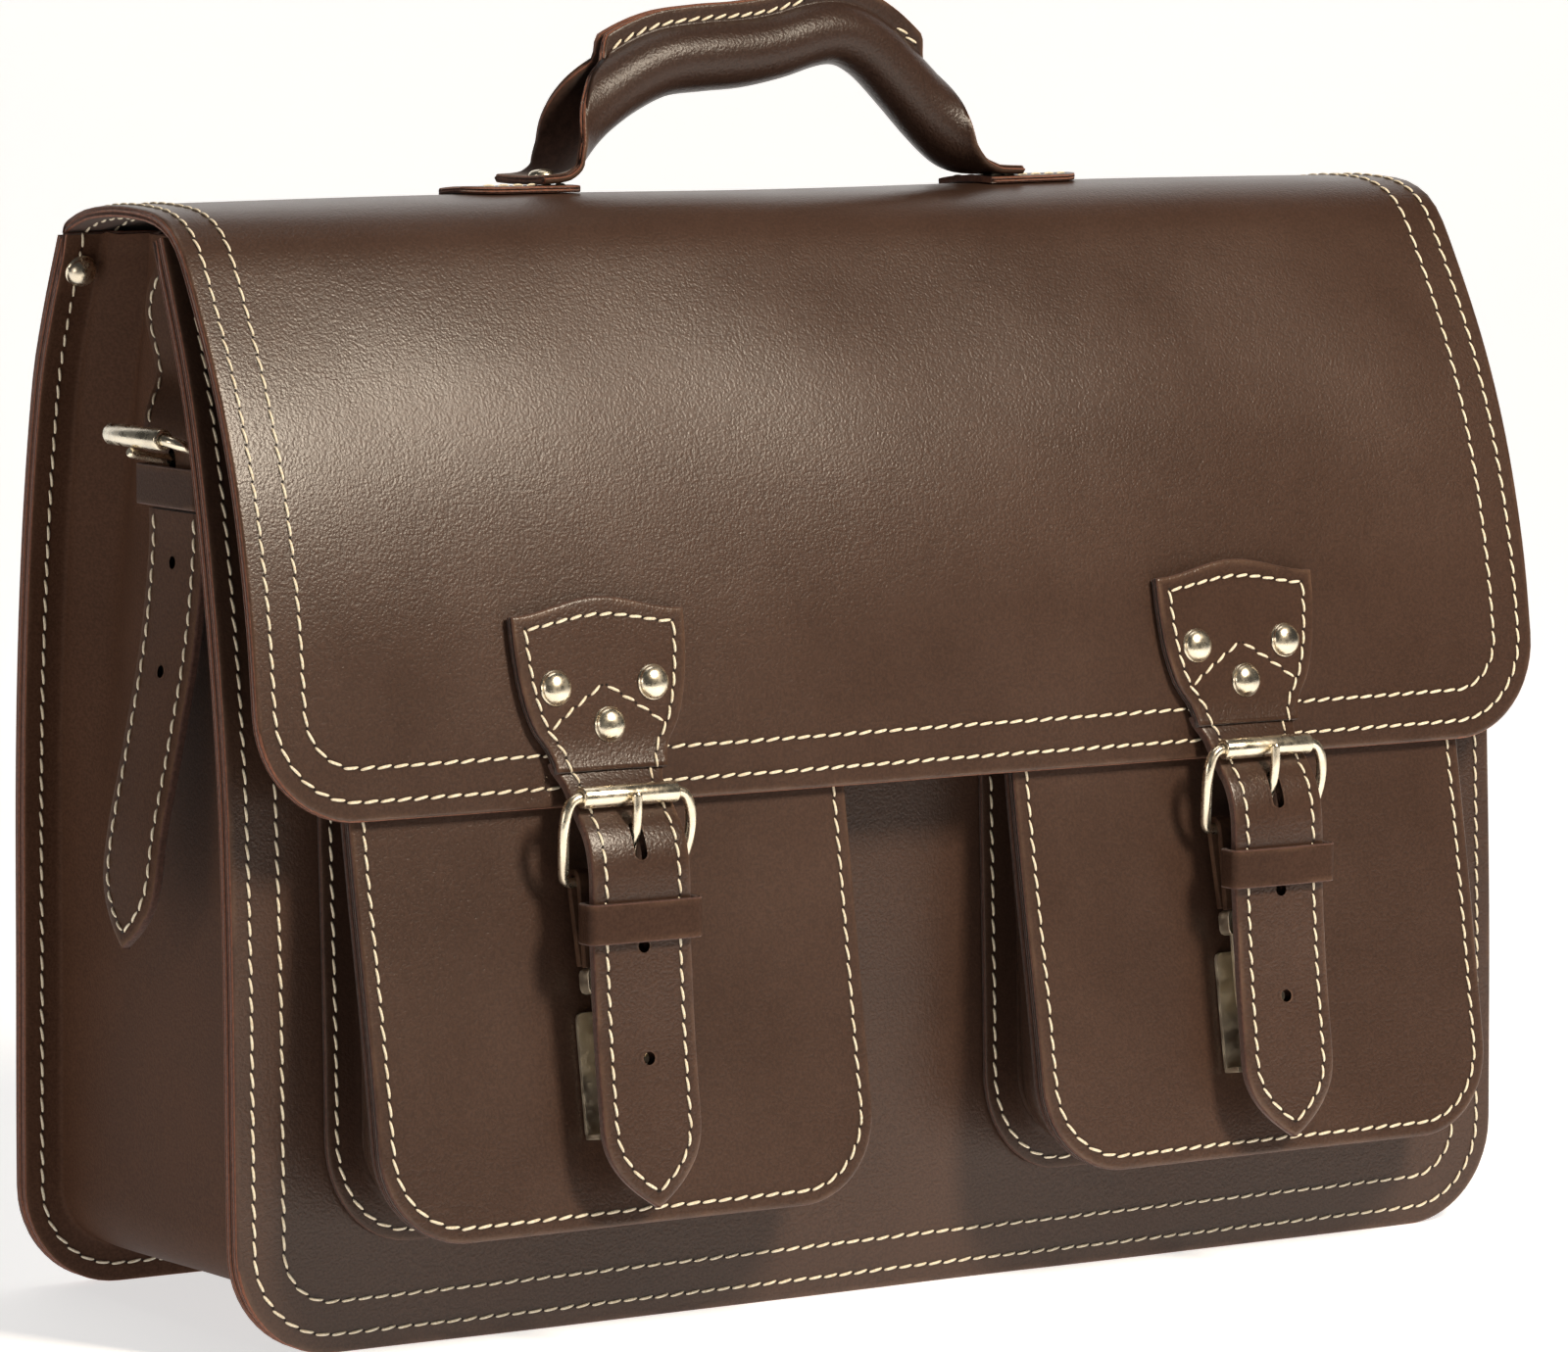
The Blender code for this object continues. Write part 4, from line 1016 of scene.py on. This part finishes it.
def make_tab(side, centre):
    """The shield-shaped end of a closing strap, sewn and riveted to the flap."""
    node = "strap_tab_" + side
    low, high = TAB_OUTLINE[0][0], TAB_OUTLINE[-1][0]
    foot = FLAP.mark_at_z(low)
    tall = FLAP.mark_at_z(high) - foot
    outline = smooth(TAB_OUTLINE, 6)

    def half_at(share):
        return float(np.interp(low + share * (high - low), outline[:, 0], outline[:, 1]))

    def spot(u, share, out=0.0):
        peak = TAB_PEAK * max(share, 0.0) ** 3 * 0.5 * (1 + math.cos(math.pi * u))
        lift = 1.2 * max(0.0, 1 - share * tall / 10) ** 2  # it bends out into the strap
        mark = foot + share * tall + peak
        return (centre + u * half_at(share), *FLAP.at(mark, GAP + STRAP_THICK + out + lift))

    def place(column, share):
        sign, value = column
        half = half_at(share)
        u = sign * (1 - value / half) if sign else value * (1 - 6 / half)
        return (*spot(u, share), min((1 - abs(u)) * half, (1 - share) * tall))

    steps = [inset for inset in EDGE_STEPS if inset <= 5]
    columns = banded(steps, np.linspace(-1, 1, 14))
    rows = list(np.linspace(-1.0 / tall, 1 - 5.5 / tall, 24))
    rows += [1 - inset / tall for inset in reversed(steps)]
    leather(node, columns, rows, place, STRAP_THICK, (STRAP_LEATHER, DARK_EDGE), rounded=0.7)

    def thread(places):
        return [
            (spot(u, share, THREAD_LIFT), (0, *FLAP.normal(foot + share * tall))) for u, share in places
        ]

    end = 1 - STRAP_SEAM / tall
    rise = [(1 - STRAP_SEAM / half_at(share), share) for share in np.linspace(-0.04, end, 44)]
    rise += [(u, end) for u in np.linspace(rise[-1][0], 0, 20)]
    lines = []
    for sign in (-1, 1):
        lines.append(thread([(sign * u, share) for u, share in rise]))
        lines.append(thread([(sign * u, 0.52 - 0.27 * u / 0.80) for u in np.linspace(0.80, 0.03, 20)]))
    stitches(node + "_thread", lines, "flap", TAB_STITCHES)
    for index, (x, z) in enumerate(TAB_RIVETS, 1):
        mark = FLAP.mark_at_z(z)
        point = (centre + x, *FLAP.at(mark, GAP + STRAP_THICK))
        rivet(f"tab_rivet_{side}_{index}", 4.6, 2.8, point, (0, *FLAP.normal(mark)))


def make_closing_strap(side, centre):
    face = Face(0, centre, 0)
    make_tab(side, centre)
    strap = Strap(face, STRAP, 16.9, STRAP_THICK)
    slot = (face.point(0, -32.2, 130.0), (0, -0.8, 0.45), SLOT_RADIUS, 6.6, (0, 0.45, 0.8))
    strap.make("strap_" + side, STRAP_LEATHER, [slot, strap.hole(103.8), strap.hole(75.2)])
    body = "closing_strap_" + side
    stitches(body + "_thread", strap.seam(2.6) + strap.seam(9.0, -1), body, STRAP_STITCHES)
    climb = ((0.22, 3.3), (0.42, 3.9), (0.56, 4.8), (0.70, 5.3), (0.86, 5.1), (1.0, 4.5), (1.08, 4.1))
    make_buckle("", side, face, ROLLER_AT, HEEL_AT, climb)
    make_keeper("keeper_" + side, face, KEEPER_AT, STRAP_THICK)
    refined("chape_" + side, "leather", 0.3, PLAIN_LEATHER, 50)
    refined("catch_tray_" + side, "plate", 0.2, SATIN)
    refined("catch_lever_" + side, "blade", 0.15, STEEL)
    refined("clasp_tongue_" + side, "plate", 0.2, SATIN)


# Side straps


def side_lean(z):
    return SIDE_STRAP_LEAN * smoothstep(228, 268, z)


def side_wall(z):
    """How far in the side wall's outer face is beside the strap, with the bag's middle at 0."""
    front, back = FRONT.y_at(z), BACK.y_at(z)
    middle = SIDE_STRAP_Y + side_lean(z)
    return WALL - GUSSET_THICK - HALF_WIDTH + main_fold(z, (middle - front) / (back - front))


def make_side_strap(side, sign):
    face = Face(sign * 90, 0, SIDE_STRAP_Y)
    on_wall = [(side_wall(z) - 1.1 - SIDE_STRAP_THICK / 2, z) for z in (252, 258, 265, 272, 279.5)]
    strap = Strap(
        face, Profile((*SIDE_LOOP, *on_wall), 6), STRAP_HALF, SIDE_STRAP_THICK, 1, 0.3,
        lean=lambda z: sign * side_lean(z),
    )
    slot = (face.point(0, -191.6, 226.2), face.vector(0, 1, 0), SLOT_RADIUS, 2.6, (0, 0, 1))
    strap.make("side_strap_" + side, SIDE_LEATHER, [slot])
    stitches("side_strap_thread_" + side, strap.seam(21.0), "bag", STRAP_STITCHES)
    tail = Strap(face, Profile(SIDE_TAIL), STRAP_HALF, SIDE_STRAP_THICK)
    body = "side_tail_" + side
    tail.make(body, SIDE_LEATHER, [tail.hole(200.0), tail.hole(172.0)])
    stitches(body + "_thread", tail.seam(1.0) + tail.seam(1.0, -1), body, STRAP_STITCHES)
    climb = ((0.22, 3.6), (0.45, 4.5), (0.7, 4.6), (1.0, 4.4), (1.12, 3.9))
    make_buckle("side_", side, face, SIDE_ROLLER_AT, SIDE_HEEL_AT, climb)
    make_keeper("side_keeper_" + side, face, SIDE_KEEPER_AT, SIDE_STRAP_THICK)
    refined("side_chape_" + side, "leather", 0.3, PLAIN_LEATHER, 50)
    mark = BACK.mark_at_z(275.5)
    point = (sign * (HALF_WIDTH - 5.7), *BACK.at(mark, PANEL_THICK + SEAM_GAP + GUSSET_THICK))
    rivet("gusset_stud_" + side, 4.3, 4.4, point, (0, *BACK.normal(mark)))


# Handle


def make_handle():
    """A strip rolled round a filler: sewn to itself in a fin along the grip, with flat feet."""
    path = Profile(HANDLE_PATH, 6)
    length = path.length
    shares = (0.0, 0.09, 0.15, 0.22, 0.30, 0.38, 0.46, 1.0)
    first, last = (float(np.interp(x, path.points[:, 0], path.marks)) for x in (-43.5, 37.0))

    def section(mark):
        """Half the arc's angle, its length and the fin's height."""
        share, place = 1 - abs(2 * mark / length - 1), mark / length
        fuller = 1.5 * hump(place, 0.4, 0.12) - hump(place, 0.66, 0.1)
        angle = np.interp(share, shares, (3, 8, 24, 58, 104, 142, 166, 170))
        arc = np.interp(share, shares, (12.4, 12.4, 12.8, 14.2, 17.6, 20.8, 23, 23)) + fuller
        sewn = smoothstep(first - 2, first + 3, mark) * (1 - smoothstep(last - 3, last + 4, mark))
        fin = 0.4 + 5.4 * sewn
        return math.radians(angle), float(arc), float(fin)

    def spot(across, mark, out=0.0):
        angle, arc, fin = section(mark)
        rate = angle / arc
        swept = min(abs(across) / 0.8, 1.0) * arc
        rise = max(abs(across) - 0.8, 0.0) / 0.2 * fin
        turn, radius = rate * swept, 1 / rate
        sideways = (radius + (0 if rise else out)) * math.sin(turn) + (out if rise else 0)
        x, z = path.at(mark, radius - (radius + (0 if rise else out)) * math.cos(turn) + rise)
        return x, HANDLE_Y + math.copysign(sideways, across), z

    def place(across, mark):
        _, arc, fin = section(mark)
        over = abs(across) > 0.8
        edge = (1 - abs(across)) / 0.2 * fin if over else fin + (0.8 - abs(across)) / 0.8 * arc
        return (*spot(across, mark), min(edge, mark, length - mark))

    half = (1, 0.99, 0.97, 0.94, 0.9, 0.85, 0.8, 0.74, 0.66, 0.58, 0.5, 0.42, 0.34, 0.26, 0.18, 0.09)
    acrosses = mirrored([-across for across in half] + [0])
    marks = [0, 0.1, 0.3, 0.7] + list(np.linspace(1.5, length - 1.5, 130))
    marks += [length - mark for mark in (0.7, 0.3, 0.1, 0)]
    skins = (HANDLE_LEATHER, CUT_EDGE)
    cover = sheet("handle_cover_leather", acrosses, marks, place, HANDLE_THICK, skins, 0, 0.6)
    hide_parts("handle_cover")
    to_frame((0, HANDLE_Y, 298))
    to_frame((0, HANDLE_Y, 312))
    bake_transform(cover)
    lines, out = [], HANDLE_THICK / 2 + THREAD_LIFT
    for sign in (-1, 1):
        for low, high in ((first + 2, first + 60), (last - 8, last - 2)):
            marks = np.linspace(low, high, 60)
            lines.append([(spot(sign * 0.87, mark, out), (0, sign, 0)) for mark in marks])
    stitches("handle_thread", lines, "handle", HANDLE_STITCHES, 14.0)
    cord = [(x, HANDLE_Y, z) for x, z in (path.at(mark, 7.7) for mark in np.linspace(first, last, 30))]
    belongs(wire("handle_core_cord", cord, 5.6, skin=CORE), "handle_core")


def make_handle_tabs():
    start, end, half = HANDLE_TAB
    low, high = FLAP.mark_at_y(HANDLE_Y - half), FLAP.mark_at_y(HANDLE_Y + half)
    middle, reach, long = (low + high) / 2, (high - low) / 2, end - start
    for side, sign, _ in SIDES:

        def half_at(u):
            return reach * math.sqrt(max(0.0, 1 - (max(u - 0.75, 0.0) / 0.27) ** 2))

        def spot(u, v, out=0.0):
            place = FLAP.at(middle + v * half_at(u), GAP + HANDLE_TAB_THICK + out)
            return (sign * (start + long * u), *place)

        def place(u, v):
            return (*spot(u, v), min((1 - abs(v)) * half_at(u), (1 - u) * long))

        node = "handle_tab_" + side
        us = list(np.linspace(0, 0.75, 12)) + [0.8, 0.85, 0.89, 0.92, 0.95, 0.97, 0.985, 0.995, 1]
        vs = mirrored([-1, -0.99, -0.97, -0.94, -0.85, -0.7, -0.5, -0.25, 0])
        skins = (HANDLE_LEATHER, CUT_EDGE)
        leather(node, us, vs, place, HANDLE_TAB_THICK, skins, rounded=0.5, flip=sign < 0)
        up = (0, *FLAP.normal(middle))
        us = np.linspace(0.06, 0.86, 30)
        lines = [[(spot(u, v, THREAD_LIFT), up) for u in us] for v in (-0.72, 0.72)]
        stitches(node + "_thread", lines, "flap", TAB_STITCHES)
        rivet("handle_rivet_" + side, 3.6, 1.7, (sign * 70.0, *FLAP.at(middle, GAP + 4.4)), up)


# Stage


def area_light(name, place, aim, size, power, color):
    light = bpy.data.lights.new(name, "AREA")
    light.shape = "RECTANGLE"
    light.size, light.size_y = size
    light.energy = power
    light.color = color
    made = link(name, light)
    made.location = place
    made.rotation_euler = (Vector(aim) - Vector(place)).to_track_quat("-Z", "Y").to_euler()


def make_stage():
    bend, radius, height, half = 1.4, 0.8, 2.6, 2.4
    line = [(-0.75, 0.0), (bend, 0.0)]
    for degrees in range(6, 91, 6):
        angle = math.radians(degrees)
        line.append((bend + radius * math.sin(angle), radius - radius * math.cos(angle)))
    line.append((bend + radius, height))
    turn = Matrix.Rotation(math.radians(AZIMUTH), 4, "Z")
    verts = [turn @ Vector((x, y, z)) for y, z in line for x in (-half, half)]
    faces = [(2 * i, 2 * i + 1, 2 * i + 3, 2 * i + 2) for i in range(len(line) - 1)]
    made, tree, shader = new_material("pale_backdrop")
    paper = ramp(tree, noise(tree, 3, 2.0), ((0.3, (0.87, 0.86, 0.85)), (0.7, (0.91, 0.90, 0.89))))
    feed(tree, shader, {"Base Color": paper, "Roughness": 0.9, "Specular IOR Level": 0.0})
    feed(tree, shader, {"Emission Color": (1.0, 1.0, 1.0), "Emission Strength": 0.62})
    link("backdrop", mesh_from("backdrop", verts, faces, [made]))
    world = bpy.data.worlds.new("studio")
    bpy.context.scene.world = world
    world.use_nodes = True
    background = world.node_tree.nodes["Background"]
    feed(world.node_tree, background, {"Color": (1.0, 0.97, 0.93), "Strength": 0.05})
    area_light("key", (0.27, -0.96, 0.96), (-0.16, 0, 0.23), (0.20, 0.32), 18, (1.0, 0.87, 0.70))
    area_light("left_fill", (-1.8, -0.3, 0.4), (-0.2, 0, 0.10), (0.5, 0.5), 3.5, (1.0, 0.90, 0.80))
    area_light("top", (0.0, 0.2, 1.9), (0, 0, 0.3), (1.0, 0.6), 4, (1.0, 0.95, 0.88))


def make_camera():
    camera = bpy.data.cameras.new("camera")
    camera.lens = LENS
    camera.sensor_width = 36.0
    camera.clip_end = 50.0
    made = link("camera", camera)
    turn, climb = math.radians(AZIMUTH), math.radians(ELEVATION)
    out = Vector((math.sin(turn) * math.cos(climb), -math.cos(turn) * math.cos(climb), math.sin(climb)))
    made.location = (Vector(AIM) + out * CAMERA_DISTANCE) * MM
    made.rotation_euler = (-out).to_track_quat("-Z", "Y").to_euler()
    bpy.context.scene.camera = made


make_camera()
make_stage()
bpy.context.scene.view_settings.view_transform = "Standard"
make_boards()
make_gussets()
for side_name, side_sign, strap_x in SIDES:
    make_closing_strap(side_name, strap_x)
    make_side_strap(side_name, side_sign)
make_handle()
make_handle_tabs()
